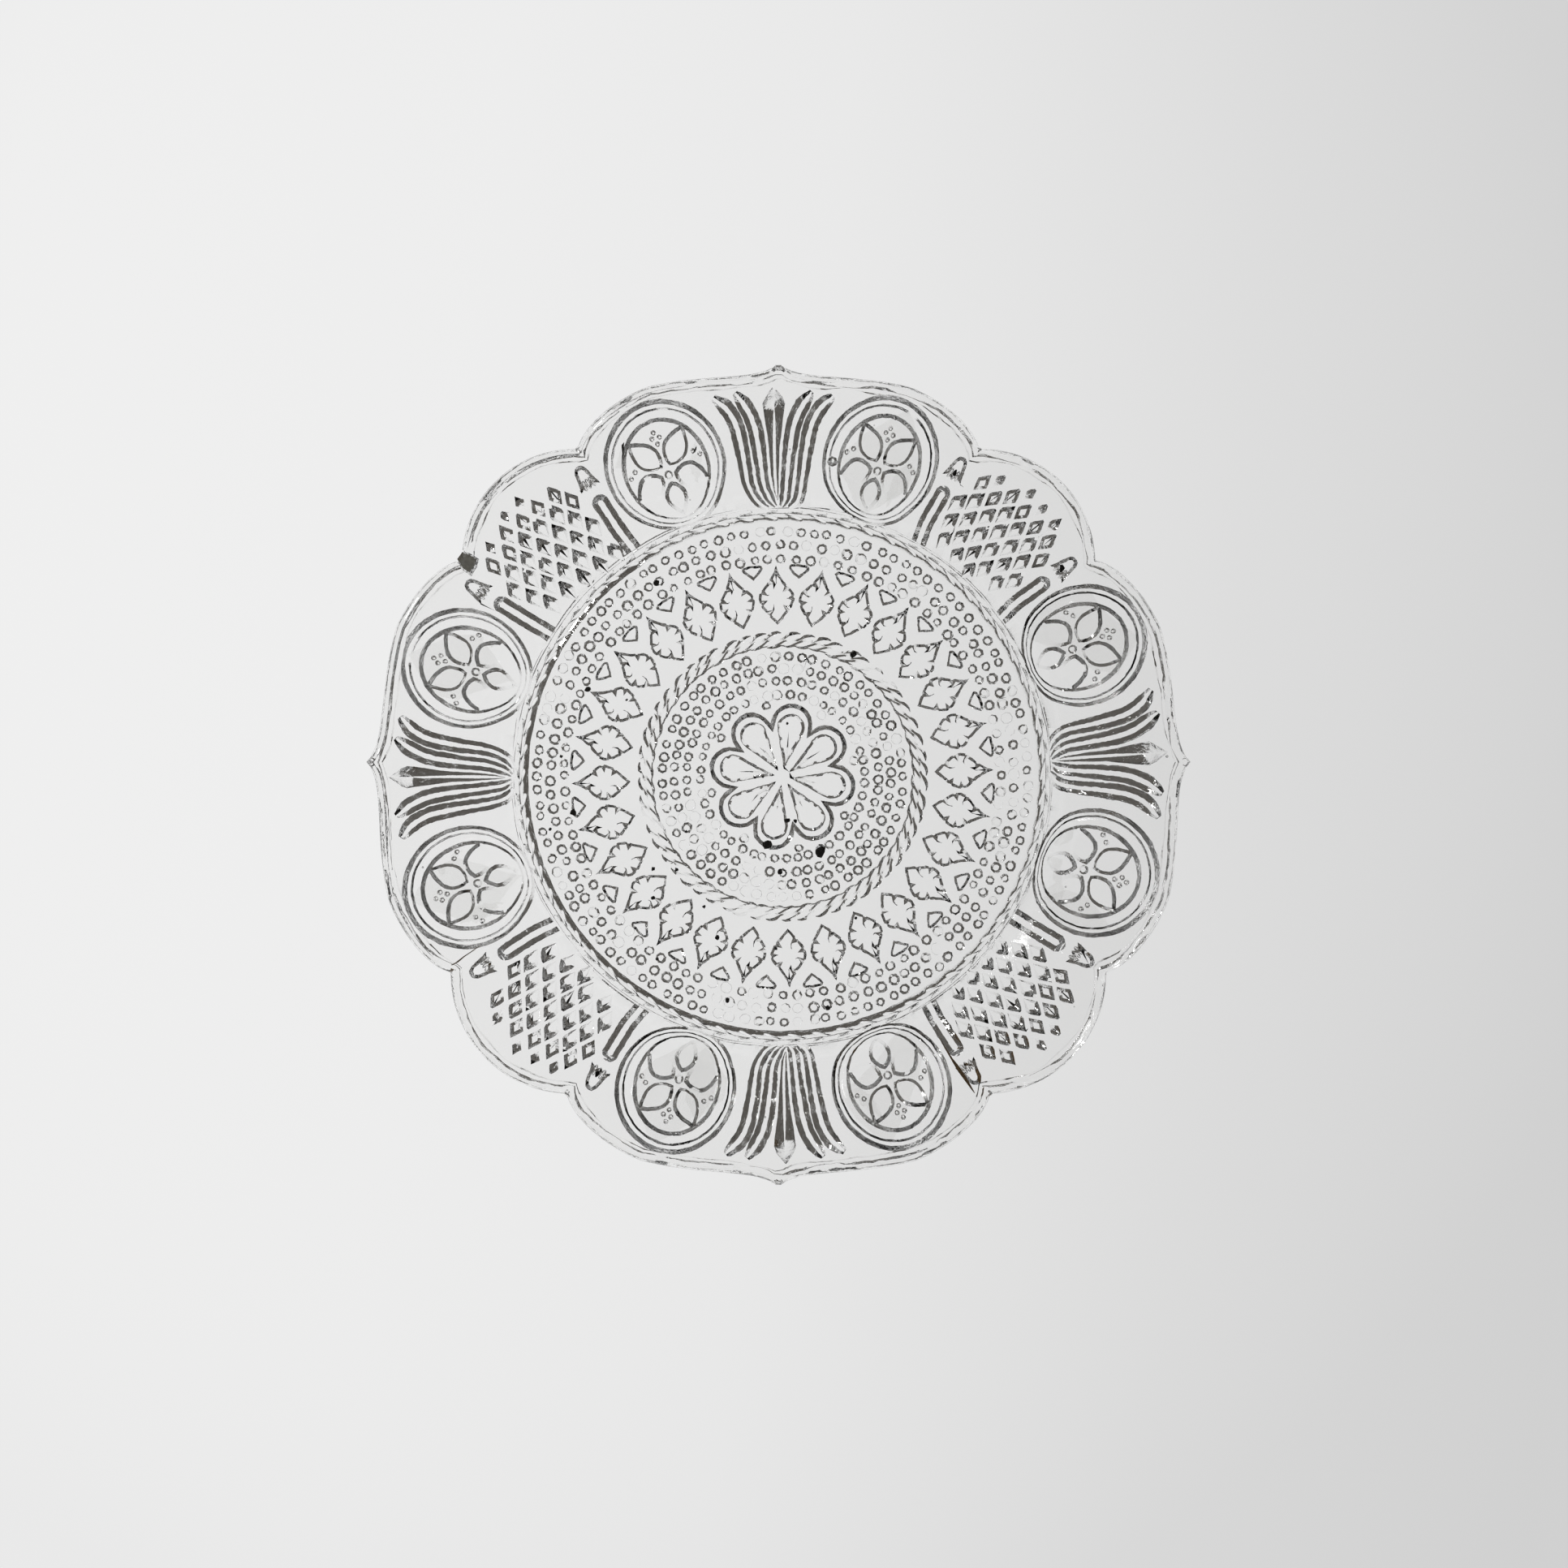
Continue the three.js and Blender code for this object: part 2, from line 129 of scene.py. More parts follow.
# Ornament of the well. A bead's profile is (share of size, height), and a ring is (radius, count, diameter).
BEAD_SIDES = 8
BEAD_PROFILE = ((1.0, -0.08), (0.93, 0.12), (0.54, 0.44))
BEAD_RINGS = (
    (8.0, 8, 1.1), (9.0, 44, 1.14), (10.55, 49, 1.18), (11.9, 54, 1.2), (13.2, 57, 1.2),
    (23.95, 96, 1.2), (25.45, 104, 1.26), (26.95, 111, 1.2),
)
BEAD_STRAY = 0.15
ROSETTE_PETALS = 8
ROSETTE_TURN = 35.3
ROSETTE_RADIUS = 8.1
ROSETTE_VALLEY = 6.0
ROSETTE_HEIGHT = 0.58
PETAL_START = 0.9
PETAL_MIDDLE = 5.5
PETAL_ROUND = 1.5
ROPE_STRANDS = 56
STRAND_POINTS = 10
STRAND_HEIGHT = 0.42
STRAND_SPAN = 1.75
TABLE_LEAVES = 66
RING_LINES = (29.7, 29.95)
LEAVES = 28
LEAF_TURN = 1.9
LEAF_HEIGHT = 0.34
LEAF_SIDE = (
    (16.7, 0), (17.2, -0.5), (18.55, -1.64), (19.45, -2.0), (20.25, -1.86), (21.25, -1.0), (22.45, -0.25),
    (23.15, 0),
)
DART_SIDE = ((21.75, 0), (22.3, -0.62), (22.9, -1.2), (23.3, -1.0), (23.4, 0))

# Ornament of the rim. The spear is given as (out, half width, height, half width of its crest), a rib as
# (out, across).
SPEAR = (
    (30.6, 0.05, 0.05, 0.02), (31.6, 0.26, 0.15, 0.12), (33.3, 0.42, 0.28, 0.16), (34.5, 0.52, 0.38, 0.16),
    (36.2, 0.62, 0.49, 0.16), (37.5, 0.77, 0.65, 0.15), (39.2, 1.02, 0.95, 0.12), (40.2, 1.18, 1.15, 0.06),
    (40.9, 1.27, 1.0, 0.04), (41.6, 0.95, 0.6, 0.03), (42.2, 0.5, 0.29, 0.03), (42.75, 0.06, 0.03, 0.02),
)
INNER_RIB = (
    (29.95, 0.3), (30.4, 0.62), (31.1, 0.95), (32.5, 1.3), (35.6, 1.68), (38.5, 2.2), (40.5, 3.1), (42.0, 4.3),
)
OUTER_RIB = (
    (29.75, 1.15), (30.2, 1.9), (30.9, 2.5), (32.5, 3.05), (35.6, 3.55), (38.5, 4.2), (40.3, 5.2), (41.5, 6.7),
)
MEDALLION_RADIUS = 36.5
FIELD = 0.42
OVAL = 0.5
DISC_STEPS = ((-0.07, -ROOT), (0.48, 0.5), (0.84, 0.5), (1.06, 0.73), (1.28, 0.73), (2.1, FIELD))
DOTS = (
    (2.45, 0.0), (3.15, 0.42), (3.1, -0.45), (3.75, 0.05), (0.45, 3.4), (-0.1, 4.05), (0.5, -3.4),
    (-0.05, -4.0),
)
BAR_TURN = 12.6
BAR_START = 30.0
BAR_DRAFT = 0.92
BELL_HEIGHT = 0.4
BELL_SIDE = ((37.75, -1.2), (39.0, -0.92), (40.0, -0.72), (40.45, -0.36), (40.5, 0))
BELL_MOUTH = ((38.3, 0.5), (37.75, 0), (38.3, -0.5))
LATTICE_TURNS = (-10, -6, 14, 0)
EDGE_LINE = 0.95

# Flaws, in pixels of the photograph: specks as (x, y, size), and the chip at a notch of the edge
SPECKS = (
    (945, 1041, 11), (1011, 1050, 13), (970, 1011, 6), (980, 1012, 5), (961, 1074, 7), (705, 1002, 7),
    (676, 1022, 4), (845, 1025, 4), (804, 1071, 5), (833, 1072, 5), (804, 1107, 5), (809, 1183, 4),
    (883, 1156, 6), (956, 1170, 4), (896, 1234, 6), (1020, 1243, 6), (1055, 1132, 4), (1052, 806, 8),
    (808, 717, 8), (723, 849, 7), (970, 891, 3), (940, 957, 3), (930, 958, 3), (771, 862, 3), (690, 932, 4),
    (867, 1118, 4),
)
CHIP = ((568, 702), (578, 708), (585, 697), (588, 687), (579, 681), (568, 677), (560, 688))
CRACK_RIGHT = ((1160, 1283), (1168, 1297), (1176, 1310), (1183, 1320), (1190, 1330), (1197, 1341), (1201, 1347))
CRACK_LEFT = ((588, 1167), (580, 1173), (571, 1179), (562, 1186), (556, 1189))
BUBBLES = ((1026, 566, 1.25), (1238, 1276, 0.45), (1439, 932, 0.35))
SMALL_BUBBLES = 16

# The photograph: its width in pixels and in millimetres at the rim, and the pixel at the middle of the plate
PHOTO_SIZE = 1932
PHOTO_WIDTH_MM = 171.2
PLATE_PIXEL = (964.3, 957.0)
PIXEL = PHOTO_WIDTH_MM / PHOTO_SIZE
CAMERA_DISTANCE = 1.5
RIM_HEIGHT = 9.0


class Wire:
    """A socket of a node tree. Arithmetic on it adds Math nodes, and node() adds any other node."""

    def __init__(self, tree, socket=None):
        self.tree = tree
        self.socket = socket

    def node(self, kind, settings=None, inputs=None, output=0):
        made = self.tree.nodes.new(kind)
        for name, value in (settings or {}).items():
            if name == "stops":
                while len(made.color_ramp.elements) < len(value):
                    made.color_ramp.elements.new(1.0)
                for stop, (place, colour) in zip(made.color_ramp.elements, value):
                    stop.position = place
                    stop.color = colour
            else:
                setattr(made, name, value)
        for name, value in (inputs or {}).items():
            if isinstance(value, Wire):
                self.tree.links.new(value.socket, made.inputs[name])
            else:
                made.inputs[name].default_value = value
        return Wire(self.tree, made.outputs[output] if made.outputs else None)

    def math(self, operation, *values):
        inputs = dict(enumerate((self, *values)))
        return self.node("ShaderNodeMath", {"operation": operation}, inputs)

    def __add__(self, other):
        return self.math("ADD", other)

    def __mul__(self, other):
        return self.math("MULTIPLY", other)

    def __sub__(self, other):
        return self.math("SUBTRACT", other)

    def __rsub__(self, other):
        return self.node("ShaderNodeMath", {"operation": "SUBTRACT"}, {0: other, 1: self})

    def __truediv__(self, other):
        return self.math("DIVIDE", other)

    __radd__ = __add__
    __rmul__ = __mul__


# Plan curves

def polar(radius, degrees):
    turn = math.radians(degrees)
    return Vector((radius * math.cos(turn), radius * math.sin(turn)))


def bezier(first, second, third, fourth, steps):
    points = []
    for step in range(steps):
        t = step / steps
        s = 1 - t
        points.append(first * s**3 + second * (3 * s * s * t) + third * (3 * s * t * t) + fourth * t**3)
    return points


def smooth_line(points, steps):
    """A line through the points, with a number of steps between each two."""
    ends = [points[0] * 2 - points[1]] + points + [points[-1] * 2 - points[-2]]
    line = []
    for before, start, end, after in zip(ends, ends[1:], ends[2:], ends[3:]):
        line += bezier(start, start + (end - before) / 6, end - (after - start) / 6, end, steps)
    return line + [points[-1]]


def arc_points(centre, radius, start, end, steps):
    return [centre + polar(radius, start + (end - start) * i / steps) for i in range(steps + 1)]


def ellipse(centre, out, across, steps):
    turns = [2 * math.pi * i / steps for i in range(steps)]
    return [centre + Vector((out * math.cos(t), across * math.sin(t))) for t in turns]


def evenly(points, spacing, closed=True):
    """The same line with its points about one spacing apart."""
    line = points + [points[0]] if closed else points
    lengths = [(b - a).length for a, b in zip(line, line[1:])]
    count = max(3, round(sum(lengths) / spacing))
    spaced = []
    index, walked = 0, 0.0
    for step in range(count if closed else count + 1):
        goal = sum(lengths) * step / count
        while index < len(lengths) - 1 and walked + lengths[index] < goal:
            walked += lengths[index]
            index += 1
        spaced.append(line[index].lerp(line[index + 1], (goal - walked) / lengths[index]))
    return spaced


def inset(outline, distance, inwards=1.0):
    """A closed outline, listed anticlockwise, drawn in by one distance, or by one for each point.

    Sides that face the plate's middle move by a share of it.
    """
    moved = []
    distances = distance if isinstance(distance, list) else [distance] * len(outline)
    for i, (point, distance) in enumerate(zip(outline, distances)):
        before = (point - outline[i - 1]).normalized()
        after = (outline[(i + 1) % len(outline)] - point).normalized()
        side = Vector((-before.y, before.x))
        middle = (side + Vector((-after.y, after.x))).normalized()
        share = 1 + (inwards - 1) * (1 + middle.dot(point.normalized())) / 2
        moved.append(point + middle * distance * share / max(0.45, middle.dot(side)))
    return moved


def edge_outline():
    """The scalloped edge of the plate, anticlockwise from one cusp."""
    points = []
    lattice_valley = polar(NOTCH_RADIUS, 45 - NOTCH_ANGLE)
    rise = DIAMOND_LOBE - lattice_valley.x
    lobe_radius = (lattice_valley.y**2 + rise**2) / (2 * rise)
    spread = math.degrees(math.atan2(lattice_valley.y, lattice_valley.x - DIAMOND_LOBE + lobe_radius))
    for quarter in range(QUARTERS):
        turn = 90 * quarter
        for side in (1, -1):
            axis = turn if side > 0 else turn + 90
            cusp = polar(PLATE_RADIUS, axis)
            ogee = polar(PLATE_RADIUS - 2.1, axis + side * 2.6)
            lead = polar(MEDALLION_LOBE, axis + side * (MEDALLION_ANGLE - 9))
            crown = polar(MEDALLION_LOBE, axis + side * MEDALLION_ANGLE)
            fall = polar(MEDALLION_LOBE, axis + side * (MEDALLION_ANGLE + 5.6))
            drop = polar(NOTCH_RADIUS + 1.7, axis + side * (NOTCH_ANGLE - 2))
            notch = polar(NOTCH_RADIUS, axis + side * NOTCH_ANGLE)
            if side > 0:
                points += bezier(cusp, ogee, lead, crown, 34) + bezier(crown, fall, drop, notch, 26)
                middle = polar(DIAMOND_LOBE - lobe_radius, turn + 45)
                points += arc_points(middle, lobe_radius, turn + 45 - spread, turn + 45 + spread, 40)[:-1]
            else:
                points += bezier(notch, drop, fall, crown, 26) + bezier(crown, lead, ogee, cusp, 34)
    return points


# Section of the plate

def rim_underside(radius):
    share = (radius - RIM_INNER) / (RIM_REACH - RIM_INNER)
    return RIM_FOOT + RIM_RISE * share * (1 + RIM_FLARE * (1 - share))


def rim_top(radius):
    share = (radius - RIM_INNER) / (RIM_REACH - RIM_INNER)
    return rim_underside(radius) + RIM_THICKNESS + (EDGE_THICKNESS - RIM_THICKNESS) * share


def top_surface(radius):
    """The floor of the well running into the rim through a rounded shoulder."""
    rise = rim_top(radius) - FLOOR_TOP
    return FLOOR_TOP + (rise + math.sqrt(rise * rise + SHOULDER_ROUND**2)) / 2


def underside(radius):
    return GROUND if radius < WELL_RADIUS else rim_underside(radius)


def wander(point, swings, offset=0.0, aside=(0.0, 0.0)):
    """The mould is hand cut: outside the well, things stand a little off their even spacing."""
    radius = math.hypot(point.x, point.y)
    turn = math.atan2(point.y, point.x)
    beyond = radius - WELL_RADIUS
    turning = min(1, max(0, beyond / 1.6))
    shift = min(1, max(0, (beyond - 1) / 4))
    shift *= shift * (3 - 2 * shift)
    stray = offset + sum(size * math.cos(times * turn - math.radians(lead)) for times, size, lead in swings)
    turn += math.radians(stray) * turning
    return Vector((radius * math.cos(turn), radius * math.sin(turn))) + Vector(aside) * shift


def hand_cut(mesh, ragged=RAGGED, swings=PANEL_WANDER, offset=PANEL_TURN):
    """Strays every vertex of a finished relief by the mould's wander and the cutter's raggedness."""
    for vertex in mesh.vertices:
        place = vertex.co / MM
        stray = noise.noise_vector(place / RAGGED_PITCH) * ragged
        stray += noise.noise_vector(place / RAGGED_GRAIN) * (0.6 * ragged)
        plan = wander(place.xy, swings, offset, EDGE_ASIDE) + stray.xy
        vertex.co = Vector((plan.x, plan.y, place.z)) * MM
    return mesh


# Closed shells in plan, as (points, faces), with z as height below the underside

def loft(rings):
    """A closed shell through rings of equal length, from its root to its crest."""
    count = len(rings[0])
    points = [point for ring in rings for point in ring]
    faces = [tuple(reversed(range(count)))]
    for level in range(len(rings) - 1):
        low, high = level * count, (level + 1) * count
        for i in range(count):
            j = (i + 1) % count
            faces.append((low + i, low + j, high + j, high + i))
    faces.append(tuple(range((len(rings) - 1) * count, len(rings) * count)))
    return points, faces


def raised(outline, height):
    return [Vector((*point, height)) for point in outline]


def mirrored(side):
    """A closed outline from its lower side, whose two ends are on the axis of +X."""
    lower = [Vector(point) for point in side]
    return lower + [Vector((p.x, -p.y)) for p in reversed(lower[1:-1])]


def inner_rings(ring, count):
    """Rings inside a flat top, so that it follows the curve of the rim without long thin faces."""
    middle = sum(ring, Vector((0, 0, 0))) / len(ring)
    return [[middle.lerp(p, 1 - step / (count + 1)) for p in ring] for step in range(1, count + 1)]


def plateau(outline, height, draft, base=0.0, crown=0.0, rings=0, inwards=1.0):
    """A raised field with its full outline on the ground. Its top may be crowned."""
    levels = [(-ROOT * draft, base - ROOT), (height * draft, base + height)]
    if crown:
        levels.append((height * draft + 3 * crown, base + height + crown))
    shape = [raised(inset(outline, drawn, inwards), level) for drawn, level in levels]
    return loft(shape + inner_rings(shape[-1], rings))


def dome(outline, profile, base=0.0):
    """A rounded boss: the outline shrinks about its middle through (share of size, height) pairs."""
    middle = sum(outline, Vector((0, 0))) / len(outline)
    return loft([
        raised([middle + (p - middle) * size for p in outline], base + level) for size, level in profile
    ])


def sweep(path, section, sizes=None, closed=False):
    """A section of (across, height) pairs, or one for each point, carried along a path. Sizes scale it."""
    rings = []
    for i, point in enumerate(path):
        before = path[i - 1] if closed or i else point
        after = path[(i + 1) % len(path)] if closed or i < len(path) - 1 else point
        along = (after - before).normalized()
        across = Vector((along.y, -along.x))
        size = sizes[i] if sizes else 1.0
        shape = section[i] if isinstance(section[0], list) else section
        rings.append([Vector((*(point + across * (a * size)), h * size)) for a, h in reversed(shape)])
    if not closed:
        return loft(rings)
    points, faces = loft(rings + [rings[0]])
    count = len(section)
    last = len(path) * count
    faces = [tuple(i % last for i in face) for face in faces[1:-1]]
    return points[:last], faces


def ridge_section(half, height, draft):
    """A ridge of constant draft, listed so that a sweep along it faces outwards."""
    foot = half + ROOT * draft
    crest = max(0.03, half - height * draft)
    return four_sided(foot, crest, height)


def four_sided(foot, crest, height):
    """A section with a flat crest, from half its width at the foot and at the crest."""
    return [(-foot, -ROOT), (foot, -ROOT), (crest, height), (-crest, height)]


def tapered(count, start, end):
    """Sizes along a path that grow from a point over the start share and shrink over the end share."""
    sizes = []
    for i in range(count):
        t = i / (count - 1)
        near = min(1.0, (t + 0.02) / start)
        far = min(1.0, (1.02 - t) / end)
        sizes.append(math.sqrt(near) * math.sqrt(far))
    return sizes


def turned(shell, degrees):
    turn = math.radians(degrees)
    c, s = math.cos(turn), math.sin(turn)
    points, faces = shell
    return [Vector((p.x * c - p.y * s, p.x * s + p.y * c, p.z)) for p in points], faces


def relief_object(name, shells, lie=underside):
    """One object from many shells, laid on the underside, in metres."""
    points, faces = [], []
    for shell_points, shell_faces in shells:
        first = len(points)
        points += [(p.x * MM, p.y * MM, (lie(math.hypot(p.x, p.y)) - p.z) * MM) for p in shell_points]
        faces += [tuple(first + i for i in reversed(face)) for face in shell_faces]
    return mesh_object(name, points, faces)


def mesh_object(name, points, faces):
    mesh = bpy.data.meshes.new(name)
    mesh.from_pydata(points, [], faces)
    made = bpy.data.objects.new(name, mesh)
    bpy.context.scene.collection.objects.link(made)
    return made


def flat_lie(radius):
    """For a motif that is put on its ground later."""
    return 0.0


# What repeats round the plate

def repeat_tree():
    """Copies of a motif round the plate's axis. A field of noise sets how crisply each copy was pressed."""
    tree = bpy.data.node_groups.new("round_the_plate", "GeometryNodeTree")
    sockets = (
        ("Motif", "NodeSocketObject"), ("Count", "NodeSocketInt"), ("Radius", "NodeSocketFloat"),
        ("Turn", "NodeSocketFloat"), ("Stray", "NodeSocketFloat"), ("Lowest", "NodeSocketFloat"),
        ("Faint", "NodeSocketFloat"), ("Faint Turn", "NodeSocketFloat"), ("Ground", "NodeSocketFloat"),
        ("Seed", "NodeSocketInt"), ("Finish", "NodeSocketMaterial"),
    )
    for name, kind in sockets:
        tree.interface.new_socket(name, in_out="INPUT", socket_type=kind)
    tree.interface.new_socket("Geometry", in_out="OUTPUT", socket_type="NodeSocketGeometry")
    given = tree.nodes.new("NodeGroupInput")
    value = {name: Wire(tree, given.outputs[name]) for name, _ in sockets}
    start = Wire(tree)

    def chance(low, high, seed):
        inputs = {2: low, 3: high, "ID": index, "Seed": value["Seed"] + seed}
        return start.node("FunctionNodeRandomValue", {"data_type": "FLOAT"}, inputs, 1)

    index = start.node("GeometryNodeInputIndex")
    stray = value["Stray"] * chance(-1.0, 1.0, 0)
    turn = value["Turn"] + (index + stray) * (2 * math.pi) / value["Count"]
    radius = value["Radius"] * (1.0 + value["Stray"] * chance(-0.03, 0.03, 7))
    place = start.node(
        "ShaderNodeCombineXYZ", None, {0: radius * turn.math("COSINE"), 1: radius * turn.math("SINE"), 2: 0.0}
    )
    noisy = start.node("ShaderNodeTexNoise", None, {"Vector": place, "Scale": 95.0, "Detail": 1.5})
    zone = value["Faint"] * ((turn - value["Faint Turn"]) * 2.0).math("COSINE")
    field = noisy - zone + chance(-0.1, 0.1, 3)
    crisp = start.node(
        "ShaderNodeMapRange", {"clamp": True}, {0: field, 1: 0.34, 2: 0.52, 3: value["Lowest"], 4: 1.0}
    )
    size = 1.0 + value["Stray"] * chance(-0.9, 0.7, 11)
    scale = start.node("ShaderNodeCombineXYZ", None, {0: size, 1: size, 2: crisp})
    points = start.node("GeometryNodePoints", None, {"Count": value["Count"], "Position": place})
    motif = start.node("GeometryNodeObjectInfo", None, {"Object": value["Motif"]}, "Geometry")
    spin = start.node("FunctionNodeAxisAngleToRotation", None, {"Axis": (0.0, 0.0, 1.0), "Angle": turn})
    copies = start.node(
        "GeometryNodeInstanceOnPoints", None,
        {"Points": points, "Instance": motif, "Rotation": spin, "Scale": scale},
    )
    whole = start.node("GeometryNodeRealizeInstances", None, {"Geometry": copies})
    lift = start.node("ShaderNodeCombineXYZ", None, {2: value["Ground"]})
    laid = start.node("GeometryNodeTransform", None, {"Geometry": whole, "Translation": lift})
    finished = start.node("GeometryNodeSetMaterial", None, {"Geometry": laid, "Material": value["Finish"]})
    result = tree.nodes.new("NodeGroupOutput")
    tree.links.new(finished.socket, result.inputs["Geometry"])
    return tree


def applied(made, modifier):
    """The plain mesh that a modifier makes. The modifier is used up."""
    evaluated = made.evaluated_get(bpy.context.evaluated_depsgraph_get())
    mesh = bpy.data.meshes.new_from_object(evaluated)
    made.modifiers.remove(modifier)
    return mesh


def round_the_plate(
    motif, count, radius=0.0, turn=0.0, stray=0.0, lowest=1.0, faint=0.0, ground=0.0, seed=0, ragged=RAGGED
):
    """A plain object with the copies of a motif, strayed by hand cutting. The single motif is used up."""
    made = mesh_object(motif.name + "_copies", [], [])
    modifier = made.modifiers.new("repeat", "NODES")
    modifier.node_group = REPEAT
    values = {
        "Motif": motif, "Count": count, "Radius": radius * MM, "Turn": math.radians(turn), "Stray": stray,
        "Lowest": lowest, "Faint": faint, "Faint Turn": math.radians(FAINT_TURN), "Ground": ground * MM,
        "Seed": seed, "Finish": GLASS,
    }
    for item in REPEAT.interface.items_tree:
        if item.in_out == "INPUT":
            modifier[item.identifier] = values[item.name]
    made.data = hand_cut(applied(made, modifier), ragged)
    bpy.data.objects.remove(motif)
    return made


def pressed(body, relief, operation="UNION"):
    """Joins a relief to the glass, or cuts it away, and uses it up."""
    modifier = body.modifiers.new("press", "BOOLEAN")
    modifier.solver = "MANIFOLD"
    modifier.operation = operation
    modifier.object = relief
    body.data = applied(body, modifier)
    bpy.data.objects.remove(relief)


# Finishes

def shader(name):
    material = bpy.data.materials.new(name)
    material.use_nodes = True
    tree = material.node_tree
    principled = tree.nodes["Principled BSDF"]
    return material, tree, principled


def clear_glass():
    """Old flint glass: clear, faintly warm, with a slow ripple and a fine pressed grain."""
    material, tree, principled = shader("clear_glass")
    principled.inputs["Transmission Weight"].default_value = 1.0
    principled.inputs["IOR"].default_value = 1.5
    start = Wire(tree)
    place = start.node("ShaderNodeTexCoord", None, None, "Object")
    cords = start.node("ShaderNodeTexNoise", None, {"Vector": place, "Scale": 160.0, "Detail": 3.0})
    tint = start.node(
        "ShaderNodeMix", {"data_type": "RGBA"},
        {0: cords, 6: (0.975, 0.976, 0.97, 1.0), 7: (1.0, 1.0, 0.998, 1.0)}, 2,
    )
    grain = start.node("ShaderNodeTexNoise", None, {"Vector": place, "Scale": 2600.0, "Detail": 2.0})
    tree.links.new(tint.socket, principled.inputs["Base Color"])
    tree.links.new((0.004 + cords * 0.02).socket, principled.inputs["Roughness"])
    facing = start.node("ShaderNodeTexCoord", None, None, "Normal")
    flank = 1.0 - start.node("ShaderNodeSeparateXYZ", None, {0: facing}, 2).math("ABSOLUTE")
    height = cords + grain * (flank * 0.9 + 0.03)
    ripple = start.node("ShaderNodeBump", None, {"Strength": 0.12, "Distance": 0.0006, "Height": height})
    tree.links.new(ripple.socket, principled.inputs["Normal"])
    return material


def plain_finish(name, colour, roughness):
    """A dull finish whose tone is a little mottled."""
    material, tree, principled = shader(name)
    principled.inputs["Roughness"].default_value = roughness
    start = Wire(tree)
    place = start.node("ShaderNodeTexCoord", None, None, "Object")
    mottle = start.node("ShaderNodeTexNoise", None, {"Vector": place, "Scale": 3000.0, "Detail": 2.0})
    light = tuple(min(1.0, c * 2.2) for c in colour)
    ends = {0: mottle, 6: (*colour, 1.0), 7: (*light, 1.0)}
    tone = start.node("ShaderNodeMix", {"data_type": "RGBA"}, ends, 2)
    tree.links.new(tone.socket, principled.inputs["Base Color"])
    return material


# Base of the plate

def edge_bevel(point):
    """Width of the bevel under the edge. It is broad on the left and comes and goes."""
    left = max(0.0, -point.normalized().x * 0.9 + point.normalized().y * 0.43)
    return max(0.05, 0.16 + 0.34 * left**0.6 + 0.2 * noise.noise(Vector((*point, 0)) / 3.2))


def ring_weakness(point):
    """How faintly the inner side of the table ring was pressed: sharp at lower left, faint at upper right."""
    turn = math.atan2(point.y, point.x)
    share = 0.4 + 2.2 * math.cos(turn - math.radians(32)) + 0.5 * noise.noise(point.normalized().to_3d() * 4)
    return min(1, max(0, share))


def plate_body():
    """The smooth pressing: a scalloped dish with a leaning edge and a round table ring."""
    outline = evenly(edge_outline(), EDGE_SPACING)
    columns = []
    for point in outline:
        outer = point.length
        top_edge = outer - EDGE_ROUND * 0.9
        inner = TOP_RADII[-1]
        radii = [*TOP_RADII, *(inner + (top_edge - inner) * s for s in RIM_SHARES)]
        column = [(r, top_surface(r)) for r in radii]
        low = rim_underside(outer)
        high = top_surface(top_edge)
        bevel = edge_bevel(point)
        belly = low + 0.7 + bevel * 0.6
        for share in ROUND_SHARES:
            lift = 0.35 * EDGE_ROUND * share * (1 - share)
            drop = (1 - math.cos(math.asin(share))) * (high - belly)
            column.append((top_edge + (outer - top_edge) * share, high + lift - drop))
        column.append((outer - 0.06, low + 0.05 + bevel * 1.05))
        start = RIM_INNER + 0.05
        stop = outer - 0.2 - bevel
        column += [(r, rim_underside(r)) for r in (stop + (start - stop) * s for s in (0.0, *RIM_SHARES))]
        column += [(WELL_RADIUS + r, height) for r, height in reversed(TABLE_RING)]
        column.append((WELL_RADIUS - 0.35 * ring_weakness(point), GROUND))
        column += [(r, GROUND) for r in GROUND_RADII]
        columns.append(column)
    mesh = bmesh.new()
    rings = []
    for level in range(len(columns[0])):
        verts = []
        for column, point in zip(columns, outline):
            radius, height = column[level]
            plan = point.normalized() * radius
            verts.append(mesh.verts.new((plan.x, plan.y, height)))
        rings.append(verts)
    poles = [mesh.verts.new((0, 0, FLOOR_TOP)), mesh.verts.new((0, 0, GROUND))]
    count = len(outline)
    for i in range(count):
        j = (i + 1) % count
        mesh.faces.new((poles[0], rings[0][i], rings[0][j]))
        mesh.faces.new((poles[1], rings[-1][j], rings[-1][i]))
        for low, high in zip(rings, rings[1:]):
            mesh.faces.new((low[i], high[i], high[j], low[j]))
    for vert in mesh.verts:
        radius = vert.co.xy.length
        plan = wander(vert.co.xy, EDGE_WANDER, 0.0, EDGE_ASIDE)
        if WELL_RADIUS - 0.6 < radius < RIM_INNER + 1:
            around = (vert.co.xy.normalized() * WELL_RADIUS).to_3d()
            plan += noise.noise_vector(around / 0.8).xy * 0.09
        vert.co = Vector((plan.x, plan.y, vert.co.z)) * MM
    bmesh.ops.recalc_face_normals(mesh, faces=mesh.faces)
    body = mesh_object("glass_plate", [], [])
    mesh.to_mesh(body.data)
    mesh.free()
    body.data.materials.append(GLASS)
    return body


# Well

def bead(diameter):
    outline = ellipse(Vector((0, 0)), diameter / 2, diameter / 2, BEAD_SIDES)
    return relief_object("bead", [dome(outline, BEAD_PROFILE)], flat_lie)


